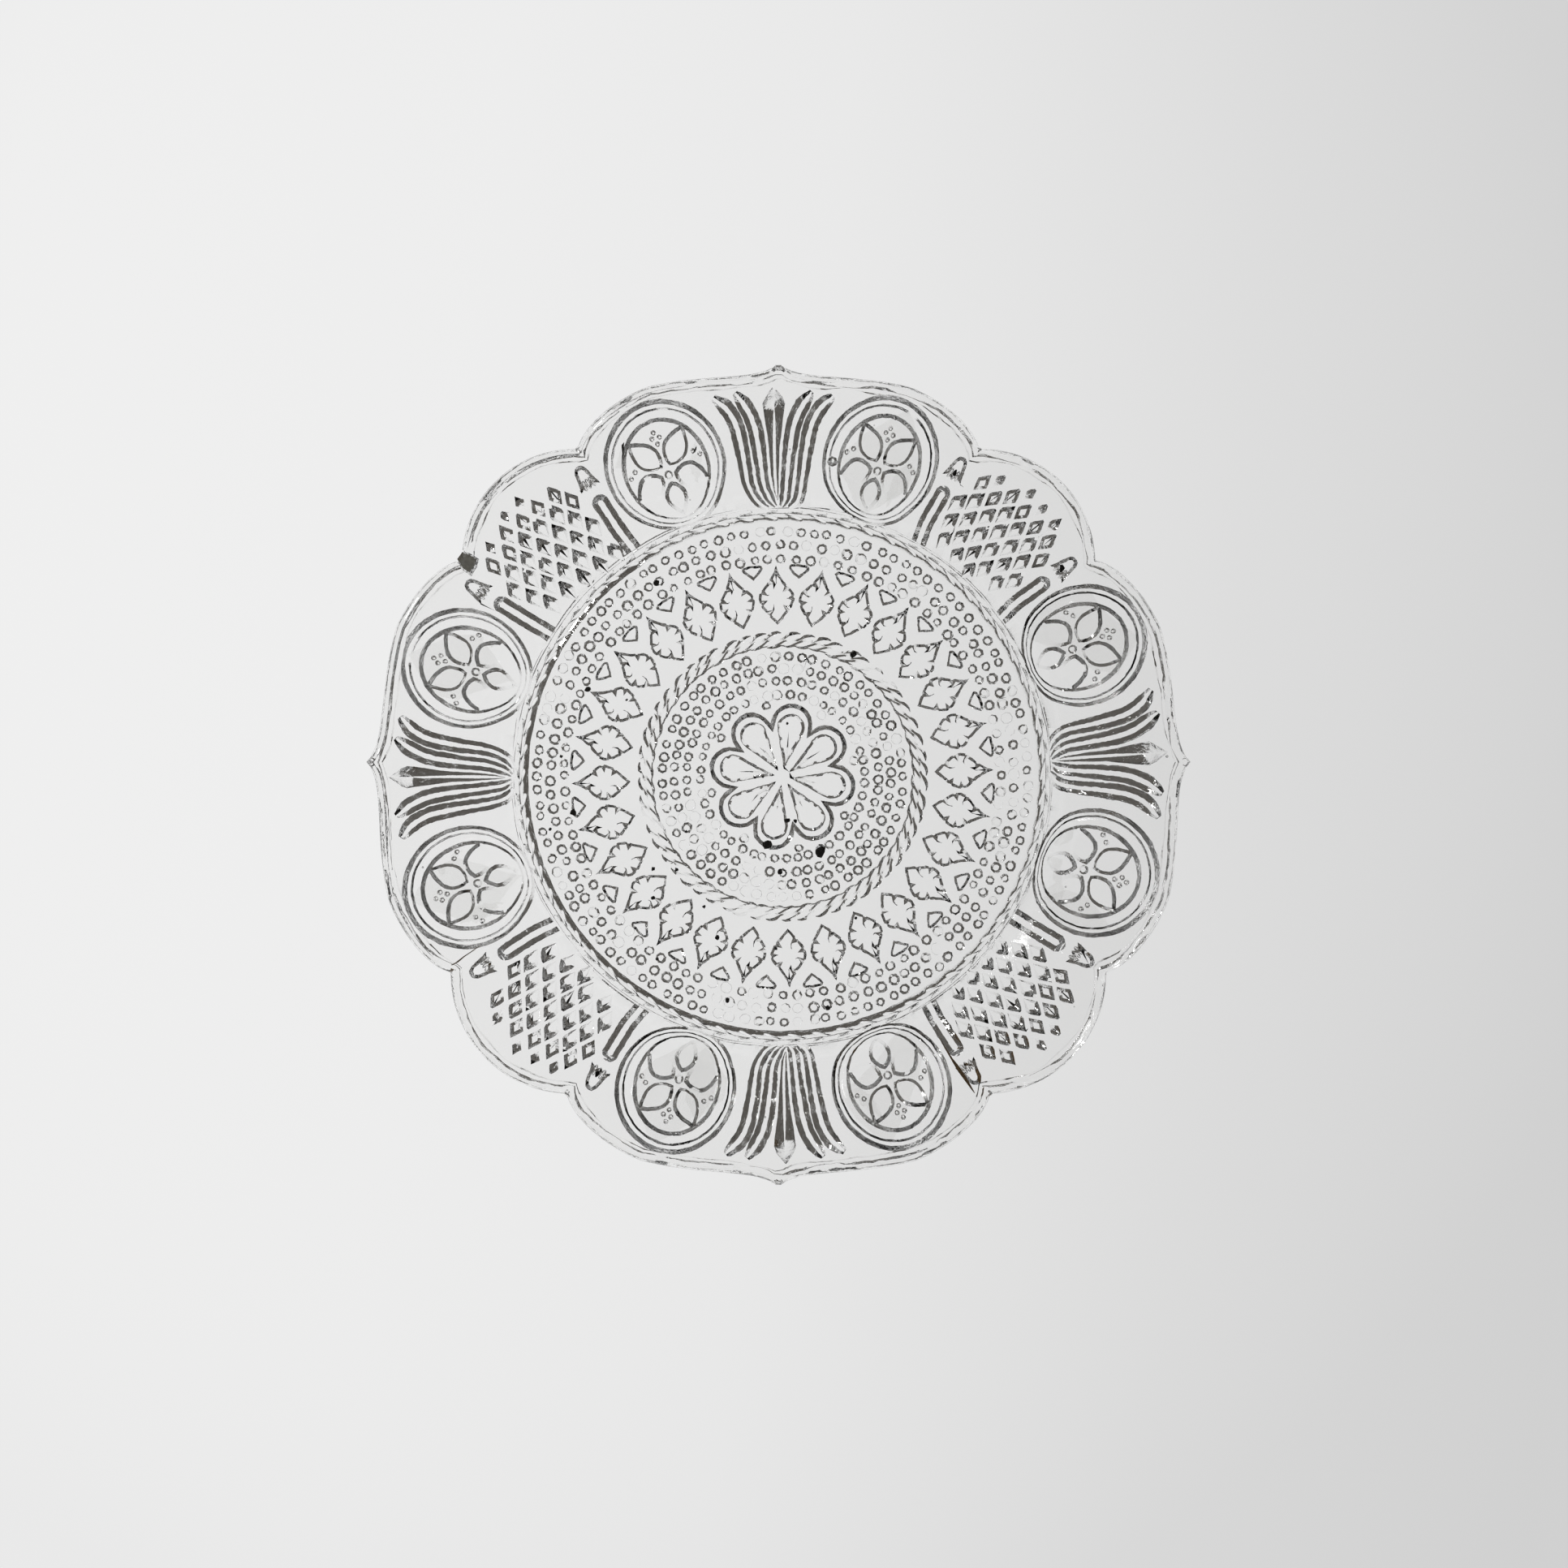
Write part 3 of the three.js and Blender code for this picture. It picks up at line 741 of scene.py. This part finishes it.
def press_beads(body):
    """Rings of beads that were pressed more or less sharply. The first stands between the rosette's petals."""
    for number, (radius, count, diameter) in enumerate(BEAD_RINGS):
        between = count == ROSETTE_PETALS
        pressed(body, round_the_plate(
            bead(diameter), count, radius,
            turn=ROSETTE_TURN + 180 / ROSETTE_PETALS if between else 3.0 * number,
            stray=0.0 if between else BEAD_STRAY, lowest=0.22, faint=0.07 if radius < ROPE_INNER else 0.0,
            ground=GROUND, seed=20 + number, ragged=0.09,
        ))


def press_rosette(body):
    """A scalloped border with petals standing on it."""
    step = 360 / ROSETTE_PETALS
    valley = polar(ROSETTE_VALLEY, step / 2)
    rise = ROSETTE_RADIUS - valley.x
    arc_radius = (valley.y**2 + rise**2) / (2 * rise)
    spread = math.degrees(math.atan2(valley.y, valley.x - ROSETTE_RADIUS + arc_radius))
    outline = []
    for petal in range(ROSETTE_PETALS):
        middle = polar(ROSETTE_RADIUS - arc_radius, step * petal)
        outline += arc_points(middle, arc_radius, step * petal - spread, step * petal + spread, 10)[:-1]
    border = relief_object("rosette_border", [plateau(outline, ROSETTE_HEIGHT, 0.8, rings=2)])
    pressed(body, round_the_plate(border, 1, turn=ROSETTE_TURN))
    tangent = 90 + math.degrees(math.asin(PETAL_ROUND / (PETAL_MIDDLE - PETAL_START)))
    petal = [Vector((PETAL_START, 0))]
    petal += arc_points(Vector((PETAL_MIDDLE, 0)), PETAL_ROUND, -tangent, tangent, 16)
    shell = plateau(evenly(petal, 0.3), 0.36, 0.9, base=ROSETTE_HEIGHT, crown=0.02, rings=2)
    petals = relief_object("rosette_petal", [shell])
    pressed(body, round_the_plate(petals, ROSETTE_PETALS, turn=ROSETTE_TURN))


def rope_strand():
    """A strand of the inner rope, about its own middle. Each end is steep on the side it leans to."""
    steep, easier, crest = 0.92, 1.1, 0.03
    foot = STRAND_HEIGHT + ROOT
    path, sections = [], []
    for i in range(STRAND_POINTS):
        t = 2 * i / (STRAND_POINTS - 1) - 1
        across = STRAND_SPAN * t
        out = -ROPE_HALF * 0.92 * math.sin(math.pi * t / 2) - across * across / (2 * ROPE_MIDDLE)
        path.append(Vector((out, across)))
        outside = steep + easier * min(1, max(0, 2 * t))
        inside = steep + easier * min(1, max(0, -2 * t))
        sections.append([
            (-crest - foot * inside, -ROOT), (crest + foot * outside, -ROOT),
            (crest, STRAND_HEIGHT), (-crest, STRAND_HEIGHT),
        ])
    return sweep(path, sections, tapered(STRAND_POINTS, 0.3, 0.3))


def press_rope(body):
    """A cord with a steep inner edge, under slanted strands that were pressed more or less sharply.

    Neighbouring strands touch, so they are pressed in two turns.
    """
    path = arc_points(Vector((0, 0)), ROPE_MIDDLE, 0, 360, 220)[:-1]
    steep, easy, height = 0.92, 2.6, 0.17
    section = [
        (-ROPE_HALF - ROOT * steep, -ROOT), (ROPE_HALF + ROOT * easy, -ROOT),
        (ROPE_HALF - height * easy, height), (-ROPE_HALF + height * steep, height),
    ]
    cord = relief_object("rope_cord", [sweep(path, section, closed=True)])
    pressed(body, round_the_plate(cord, 1, ragged=0.06))
    for number in range(2):
        strand = relief_object("rope_strand", [rope_strand()], flat_lie)
        pressed(body, round_the_plate(
            strand, ROPE_STRANDS // 2, ROPE_MIDDLE, turn=360 / ROPE_STRANDS * number, stray=0.08,
            lowest=0.78, faint=0.06, ground=GROUND, seed=40 + number, ragged=0.05,
        ))


def press_table_rope(body):
    """Plump slanted leaves along the table ring, that cover part of its dark inner flank."""
    start, tip = Vector((WELL_RADIUS + 0.47, -1.1)), Vector((WELL_RADIUS + 1.24, 1.3))
    along = tip - start
    aside = Vector((-along.y, along.x)).normalized() * 0.36
    shares = [0.0, 0.03, 0.1, 0.2, 0.33, 0.5, 0.67, 0.82, 0.93, 1.0]
    fullest = 0.25
    widths = []
    for t in shares:
        blunt = t < fullest
        widths.append(
            math.sqrt(1 - (1 - t / fullest) ** 2) if blunt else 1 - ((t - fullest) / (1 - fullest)) ** 1.8
        )
    right = [start + along * t - aside * w for t, w in zip(shares, widths)]
    left = [start + along * t + aside * w for t, w in zip(shares, widths)]
    outline = evenly(right + left[-2:0:-1], 0.3)
    leaf = relief_object("table_leaf", [plateau(outline, 0.93, 0.22, base=-1.2, rings=1)], flat_lie)
    pressed(body, round_the_plate(leaf, TABLE_LEAVES, ragged=0.05))


def press_ring_lines(body):
    """Two fine lines outside the table ring, that come and go."""
    for number, radius in enumerate(RING_LINES):
        path = arc_points(Vector((0, 0)), radius, 0, 360, 160)[:-1]
        sizes = [min(1.2, max(0.15, 0.6 + 1.3 * noise.noise(Vector((*p, 9.0 * number)) / 6))) for p in path]
        line = relief_object("ring_line", [sweep(path, ridge_section(0.17, 0.14, 0.9), sizes, closed=True)])
        pressed(body, round_the_plate(line, 1, ragged=0.06))


def press_leaves(body):
    """Leaves with a nicked crest, and the darts between their tips."""
    outline = evenly(mirrored(LEAF_SIDE), 0.3)
    easy, deep = inset(outline, LEAF_HEIGHT * 0.86), inset(outline, 0.9)
    crest = []
    for i, (shallow, far) in enumerate(zip(easy, deep)):
        nicked = i % 5 == 2 and abs(outline[i].y) > 0.55
        crest.append(far if nicked else shallow)
    middle = sum(outline, Vector((0, 0))) / len(outline)
    field = [middle.lerp(p, 0.42) for p in outline]
    heart = [middle.lerp(p, 0.2) for p in outline]
    rings = [raised(inset(outline, -ROOT * 0.84), -ROOT)]
    rings += [raised(ring, LEAF_HEIGHT) for ring in (crest, field, heart)]
    leaf = relief_object("leaf", [loft(rings)])
    pressed(body, round_the_plate(leaf, LEAVES, turn=LEAF_TURN, ragged=0.07))
    dart = relief_object("dart", [plateau(evenly(mirrored(DART_SIDE), 0.25), 0.3, 0.88)])
    pressed(body, round_the_plate(dart, LEAVES, turn=LEAF_TURN + 180 / LEAVES))


# Rim: one quarter of it, with its palmette on the axis of +X

def palmette():
    """A spear between two pairs of ribs."""
    path = [Vector((out, 0)) for out, _, _, _ in SPEAR]
    shells = [sweep(path, [four_sided(half + ROOT, crest, height) for _, half, height, crest in SPEAR])]
    for crest in (INNER_RIB, OUTER_RIB):
        for side in (1, -1):
            line = smooth_line([Vector((out, side * across)) for out, across in crest], 8)
            path = evenly(line, 0.33, closed=False)
            count = len(path)
            ends = tapered(count, 0.1, 0.14)
            sizes = [(0.66 + 0.42 * min(1.0, 1.7 * i / count)) * end for i, end in enumerate(ends)]
            shells.append(sweep(path, ridge_section(0.82, 0.64, 0.9), sizes))
    return shells


def medallion_fields(turn):
    """The stepped disc and the oval field on it, of one medallion."""
    middle = Vector((MEDALLION_RADIUS, 0))
    outline = ellipse(middle, 7.0, 6.7, 64)
    inwards = 0.8
    disc = [raised(inset(outline, drawn, inwards), level) for drawn, level in DISC_STEPS]
    oval = ellipse(middle + Vector((-0.4, 0)), 5.65, 4.85, 56)
    field = plateau(oval, OVAL, 0.97, base=FIELD, rings=2, inwards=inwards)
    return [turned(shell, turn) for shell in (loft(disc + inner_rings(disc[-1], 2)), field)]


def almond(start, tip, half):
    """The outline of a petal, fullest a little before its middle."""
    along = (tip - start).normalized()
    across = Vector((-along.y, along.x))
    length = (tip - start).length
    steps = 12
    edge = [(i / steps, -1) for i in range(steps)] + [(1 - i / steps, 1) for i in range(steps)]
    outline = []
    for t, side in edge:
        wide = side * math.sin(math.pi * t**0.85) ** 0.9
        outline.append(start + along * (length * t) + across * (half * wide))
    return outline


def medallion_flower(turn):
    """Petals, eye and dots on the oval field."""
    middle = Vector((MEDALLION_RADIUS, 0))
    base = FIELD + OVAL
    petals = []
    for side in (1, -1):
        petals.append(((-0.15, side * 0.4), (3.55, side * 3.25), 1.42, 0.9))
        petals.append(((-0.9, side * 0.6), (-2.75, side * 4.25), 1.5, 1.2))
    petals.append(((-1.7, 0), (-5.6, 0), 1.25, 1.2))
    shells = []
    for start, tip, half, inwards in petals:
        petal = almond(middle + Vector(start), middle + Vector(tip), half)
        shells.append(plateau(petal, 0.4, 0.96, base=base, rings=1, inwards=inwards))
    shells.append(plateau(ellipse(middle + Vector((-1.0, 0)), 0.5, 0.5, 10), 0.24, 0.9, base=base))
    for out, across in DOTS:
        dot = ellipse(middle + Vector((out, across)), 0.31, 0.31, 8)
        shells.append(dome(dot, [(1.0, -ROOT), (0.9, 0.16), (0.4, 0.38), (0.2, 0.39)], base))
    return [turned(shell, turn) for shell in shells]


def bar(length, half, height):
    """A bar along +X with a hipped round end."""
    flat = half - height * BAR_DRAFT
    stations = [(length * i / 20, half, flat, height) for i in range(21)]
    for share in (0.15, 0.35, 0.5, 0.6, 0.66, 0.72, 0.8, 0.9, 0.97):
        hip = min(height, half * (1 - share) / BAR_DRAFT)
        crest = math.sqrt(max(0.0004, flat**2 - (half * share) ** 2))
        stations.append((length + half * share, half * math.sqrt(1 - share**2), crest, hip))
    path = [Vector((BAR_START + along, 0)) for along, _, _, _ in stations]
    return sweep(path, [four_sided(wide + ROOT * BAR_DRAFT, crest, top) for _, wide, crest, top in stations])


def bars_and_bells():
    """The bars and bells beside a lattice, and the prongs that stand on the bells."""
    shells, prongs = [], []
    for side in (1, -1):
        turn = 45 + side * BAR_TURN
        shells.append(turned(bar(6.0, 0.92, 0.66), turn))
        far_side = [(out, -across) for out, across in reversed(BELL_SIDE[:-1])]
        bell = [Vector(point) for point in (*BELL_SIDE, *far_side, *BELL_MOUTH)]
        shells.append(turned(plateau(evenly(bell, 0.3), BELL_HEIGHT, 0.92), turn))
        for across in (-0.55, 0.0, 0.55):
            path = [Vector((37.75 + 0.25 * i, across * (1 - 0.06 * i))) for i in range(6)]
            points, faces = turned(sweep(path, ridge_section(0.22, 0.22, 0.74), tapered(6, 0.3, 0.3)), turn)
            prongs.append(([p + Vector((0, 0, BELL_HEIGHT)) for p in points], faces))
    return shells, prongs


def diamond_lattice(quarter):
    """Diamonds between the bars, each rising outwards. Along the edge they are smaller and flat.

    Each lattice stands askew by its own turn, and its seed follows its quarter.
    """
    shells = []
    chance = random.Random(11 + quarter)
    pitch_across, pitch_out = 2.26, 1.74
    half_across, half_out = 0.93, 1.43
    askew = math.radians(LATTICE_TURNS[quarter])
    lean = Vector((math.cos(askew), math.sin(askew)))
    aside = Vector((-lean.y, lean.x))
    middle, lobe, lobe_reach = Vector((36.2, 0)), Vector((31.7, 0)), 10.1
    beside_bar = Vector((math.sin(math.radians(BAR_TURN)), math.cos(math.radians(BAR_TURN))))
    for i in range(-8, 9):
        for j in range(-8, 9):
            place = middle + lean * ((i + j) * pitch_out) + aside * ((i - j) * pitch_across / 2)
            room = lobe_reach - (place - lobe).length
            from_bar = place.x * beside_bar.x - abs(place.y) * beside_bar.y
            near_bar = place.x < 37.3 and from_bar < 1.5
            if room < 0 or place.length < 30.7 or abs(place.y) > 6.5 or near_bar:
                continue
            outer_rows = room < 3.0
            size = (0.94 if outer_rows else 1.03) * chance.uniform(0.94, 1.0)
            if room < 0.9:
                size *= chance.uniform(0.6, 0.9)
            place += Vector((chance.uniform(-0.07, 0.07), chance.uniform(-0.05, 0.05)))
            tips = ((-half_out, 0), (0, -half_across), (half_out, 0), (0, half_across))
            outline = evenly([place + (lean * out + aside * across) * size for out, across in tips], 0.5)
            if outer_rows:
                shell = plateau(outline, 0.42, 0.92)
            else:
                rise = [0.5 + (p - place).dot(lean) / (2 * half_out * size) for p in outline]
                heights = [0.06 + 0.64 * share for share in rise]
                crest = inset(outline, [height * 0.95 for height in heights], 1.25)
                crest = [Vector((*p, height)) for p, height in zip(crest, heights)]
                shell = loft([raised(inset(outline, -ROOT), -ROOT), crest])
            shells.append(turned(shell, 45 + 90 * quarter))
    return shells


def press_rim(body):
    """One quarter of the rim, repeated, and then the four lattices, which differ."""
    discs, ovals, flowers = [], [], []
    bars, prongs = bars_and_bells()
    for side in (1, -1):
        disc, oval = medallion_fields(side * MEDALLION_ANGLE)
        discs.append(disc)
        ovals.append(oval)
        flowers += medallion_flower(side * MEDALLION_ANGLE)
    layers = (
        ("palmettes", palmette(), 0.07), ("bars_and_bells", bars, 0.06), ("bell_prongs", prongs, 0.05),
        ("medallion_discs", discs, 0.06), ("medallion_ovals", ovals, 0.06),
        ("medallion_flowers", flowers, 0.04),
    )
    for name, shells, ragged in layers:
        pressed(body, round_the_plate(relief_object(name, shells), QUARTERS, ragged=ragged))
    diamonds = [shell for quarter in range(QUARTERS) for shell in diamond_lattice(quarter)]
    pressed(body, round_the_plate(relief_object("diamonds", diamonds), 1, ragged=0.05))


def press_edge_line(body):
    """A low ridge inside the edge, that comes and goes."""
    outline = evenly(edge_outline(), 0.3)
    clear = EDGE_LINE * 0.96
    path = [p for p in inset(outline, EDGE_LINE) if min((p - q).length for q in outline) > clear]
    path = evenly(path, 0.75)
    sizes = [0.8 + 1.1 * noise.noise(Vector((*p, 4)) / 4) for p in path]
    sizes = [min(1.25, max(0.3, size)) for size in sizes]
    line = relief_object("edge_line", [sweep(path, ridge_section(0.32, 0.17, 0.95), sizes, closed=True)])
    hand_cut(line.data, 0.1, EDGE_WANDER, 0.0)
    pressed(body, line)


# Flaws

def photo_place(x, y):
    """A place on the plate from a pixel of the photograph, in millimetres."""
    return Vector((x - PLATE_PIXEL[0], PLATE_PIXEL[1] - y)) * PIXEL


def lump(place, size, height, seed):
    """A small irregular lump in the glass, as a closed shell round a height."""
    chance = random.Random(seed)
    sides = 9
    radii = [size / 2 * chance.uniform(0.65, 1.15) for _ in range(sides)]
    middle = [place + polar(r, 360 / sides * i) for i, r in enumerate(radii)]
    levels = ((0.55, height - 0.12), (1.0, height), (0.6, height + 0.12))
    return loft([raised([place + (p - place) * share for p in middle], level) for share, level in levels])


def blade(pixels, widths):
    """A thin upright sheet through the glass of the rim, along a line of pixels."""
    path = [photo_place(*p) for p in pixels]
    sections = []
    for i, (point, wide) in enumerate(zip(path, widths)):
        along = (path[min(i + 1, len(path) - 1)] - path[max(i - 1, 0)]).normalized()
        across = Vector((along.y, -along.x)) * wide / 2
        low, high = rim_underside(point.length) + 0.2, rim_top(point.length) - 0.2
        near, far = point - across, point + across
        corners = ((near, high), (far, high), (far, low), (near, low))
        sections.append([Vector((*p, level)) for p, level in corners])
    return loft(sections)


def standing_object(name, shells, material):
    """One object from shells whose z is a true height."""
    points, faces = [], []
    for shell_points, shell_faces in shells:
        faces += [tuple(len(points) + i for i in face) for face in shell_faces]
        points += [p * MM for p in shell_points]
    made = mesh_object(name, points, faces)
    made.data.materials.append(material)
    return made


def speck_piece():
    """Black specks of scale that the glass took up."""
    shells = []
    for number, (x, y, size) in enumerate(SPECKS):
        shells.append(lump(photo_place(x, y), size * PIXEL * 1.15, GROUND + 0.45, number))
    specks = standing_object("black_specks", shells, plain_finish("black_scale", (0.012, 0.011, 0.01), 0.7))
    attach(specks, "root")


def chip_outline():
    """The edge of the chip and its middle."""
    edge = [photo_place(*p) for p in CHIP]
    return edge, sum(edge, Vector((0, 0))) / len(edge)


def chip_piece():
    """A grey sheet in the bed of the chip."""
    edge, middle = chip_outline()
    middle = middle * 0.995
    bed = [middle + (p - middle) * 0.8 for p in edge]
    thickness = 0.12
    heights = [rim_underside(p.length) + 1.2 for p in bed]
    grey_bed = loft([
        [Vector((*p, height + rise)) for p, height in zip(bed, heights)] for rise in (0.0, thickness)
    ])
    # The chip's grey tone comes from this coloured sheet inside the glass.
    chip = standing_object("chip_stain", [grey_bed], plain_finish("grey_stain", (0.5, 0.47, 0.41), 0.8))
    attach(chip, "root")


def crack_piece():
    """Two old cracks in the rim, stained brown."""
    shells = [
        blade(CRACK_RIGHT, (0.06, 0.14, 0.24, 0.42, 0.36, 0.2, 0.08)),
        blade(CRACK_LEFT, (0.03, 0.08, 0.1, 0.1, 0.05)),
    ]
    cracks = standing_object("stained_cracks", shells, plain_finish("iron_stain", (0.16, 0.1, 0.045), 0.8))
    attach(cracks, "root")


def press_flaws(body):
    """Bubbles in the glass, and the chip at a notch of the edge."""
    chance = random.Random(5)
    bubbles = [(photo_place(x, y), size) for x, y, size in BUBBLES]
    for _ in range(SMALL_BUBBLES):
        place = polar(chance.uniform(31.5, 41), chance.uniform(0, 360))
        bubbles.append((place, chance.uniform(0.12, 0.3)))
    shells = []
    for place, size in bubbles:
        middle = (rim_underside(place.length) + rim_top(place.length)) / 2 + 0.2
        rings = []
        for rise in (-70, -35, 0, 35, 70):
            across = polar(size / 2, rise)
            rings.append(raised([place + polar(across.x, 45 * i) for i in range(8)], middle + across.y))
        shells.append(loft(rings))
    pressed(body, standing_object("bubbles", shells, GLASS), "DIFFERENCE")
    edge, middle = chip_outline()
    low, high = [], []
    for p in edge:
        ground = rim_underside(p.length)
        low.append(Vector((*p, ground - 1.0)))
        high.append(Vector((*p, ground + max(0.05, 0.95 * (p.length - middle.length + 0.75)))))
    pressed(body, standing_object("chip", [loft([low, high])], GLASS), "DIFFERENCE")


def crisp_edges(mesh, degrees=28):
    """Smooth shading, broken along the cut edges of the ornament."""
    shape = bmesh.new()
    shape.from_mesh(mesh)
    bmesh.ops.remove_doubles(shape, verts=shape.verts, dist=0.002 * MM)
    limit = math.radians(degrees)
    for face in shape.faces:
        face.smooth = True
    for edge in shape.edges:
        edge.smooth = edge.calc_face_angle(0.0) < limit
    shape.to_mesh(mesh)
    shape.free()


GLASS = clear_glass()
REPEAT = repeat_tree()


def glass_plate():
    """The whole plate in one pressing, from the well outwards. It stands in for all the nodes."""
    body = plate_body()
    press_beads(body)
    press_rosette(body)
    press_rope(body)
    press_table_rope(body)
    press_ring_lines(body)
    press_leaves(body)
    press_rim(body)
    press_edge_line(body)
    press_flaws(body)
    crisp_edges(body.data)
    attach(body, "root")
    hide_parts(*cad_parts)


# Setting

def floor_sheet():
    """A pale sheet that shows through the glass as the camera sees it, with painted light: lighter on the left,
    and painted shade away from a point up and left of the plate.
    """
    material, tree, principled = shader("pale_sheet")
    principled.inputs["Roughness"].default_value = 0.9
    start = Wire(tree)
    place = start.node("ShaderNodeTexCoord", None, None, "Object")
    across = start.node("ShaderNodeSeparateXYZ", None, {0: place}, 0)
    along = start.node("ShaderNodeSeparateXYZ", None, {0: place}, 1)
    # Painted light: the sheet's tone falls from left to right, as if lit from the left.
    share = start.node("ShaderNodeMapRange", {"clamp": True}, {0: across - along * 0.1, 1: -0.09, 2: 0.09})
    painted_light_tones = ((0.0, 0.937), (0.28, 0.916), (0.5, 0.88), (0.77, 0.782), (1.0, 0.722))
    painted_light = start.node("ShaderNodeValToRGB", {"stops": [(at, (v, v, v, 1.0)) for at, v in painted_light_tones]}, {0: share})
    # Painted shade: the tone darkens a little away from a point 20 mm left of and 20 mm above the plate's
    # middle.
    east, south = across + 0.02, along - 0.02
    fall = (east * east + south * south) * 70.0
    shade = start.node(
        "ShaderNodeMapRange", {"clamp": True}, {0: fall * fall, 1: 0.0, 2: 1.0, 3: 0.0, 4: 0.055}
    )
    tone = start.node("ShaderNodeMix", {"data_type": "RGBA"}, {0: shade, 6: painted_light, 7: (0.0, 0.0, 0.0, 1.0)}, 2)
    tree.links.new(tone.socket, principled.inputs["Base Color"])
    shown = start.node("ShaderNodeEmission", None, {"Color": tone, "Strength": 1.0})
    rays = ("Is Camera Ray", "Is Glossy Ray", "Is Transmission Ray")
    seen, glossy, through = (start.node("ShaderNodeLightPath", None, None, ray) for ray in rays)
    either = seen.math("MAXIMUM", glossy).math("MAXIMUM", through)
    plain = Wire(tree, principled.outputs[0])
    mixed = start.node("ShaderNodeMixShader", None, {0: either * 0.92, 1: plain, 2: shown})
    tree.links.new(mixed.socket, tree.nodes["Material Output"].inputs["Surface"])
    half = 2.5
    corners = [(-half, -half, 0), (half, -half, 0), (half, half, 0), (-half, half, 0)]
    sheet = mesh_object("pale_sheet", corners, [(0, 1, 2, 3)])
    sheet.data.materials.append(material)
    sheet.location.z = -0.05 * MM


def soft_light(name, place, size, power):
    lamp = bpy.data.lights.new(name, "AREA")
    lamp.shape = "DISK"
    lamp.size = size
    lamp.energy = power
    made = bpy.data.objects.new(name, lamp)
    made.location = place
    made.rotation_euler = (-Vector(place)).to_track_quat("-Z", "Y").to_euler()
    made.visible_camera = False
    bpy.context.scene.collection.objects.link(made)


def dim_room():
    """Soft light from overhead, dark walls, and a pale horizon."""
    world = bpy.data.worlds.new("dim_room")
    bpy.context.scene.world = world
    world.use_nodes = True
    start = Wire(world.node_tree)
    ground = world.node_tree.nodes["Background"]
    direction = start.node("ShaderNodeTexCoord", None, None, "Generated")
    height = start.node("ShaderNodeSeparateXYZ", None, {0: direction}, 2)
    dark = (0.085, 0.079, 0.071, 1.0)
    stops = ((0.0, (0.5, 0.5, 0.5, 1.0)), (0.06, (0.45, 0.45, 0.45, 1.0)), (0.13, dark), (1.0, dark))
    tone = start.node("ShaderNodeValToRGB", {"stops": stops}, {0: height})
    world.node_tree.links.new(tone.socket, ground.inputs["Color"])


def photo_camera():
    camera = bpy.data.cameras.new("camera")
    camera.sensor_width = 36.0
    camera.lens = camera.sensor_width * (CAMERA_DISTANCE - RIM_HEIGHT * MM) / (PHOTO_WIDTH_MM * MM)
    made = bpy.data.objects.new("camera", camera)
    aside = photo_place(PHOTO_SIZE / 2, PHOTO_SIZE / 2) * MM
    made.location = (aside.x, aside.y, CAMERA_DISTANCE)
    camera.clip_end = 20.0
    bpy.context.scene.collection.objects.link(made)
    bpy.context.scene.camera = made


photo_camera()
floor_sheet()
dim_room()
soft_light("left_window", (-1.3, 0.95, 0.62), 0.3, 3.0)
glass_plate()
speck_piece()
chip_piece()
crack_piece()

bpy.context.scene.view_settings.view_transform = "Standard"
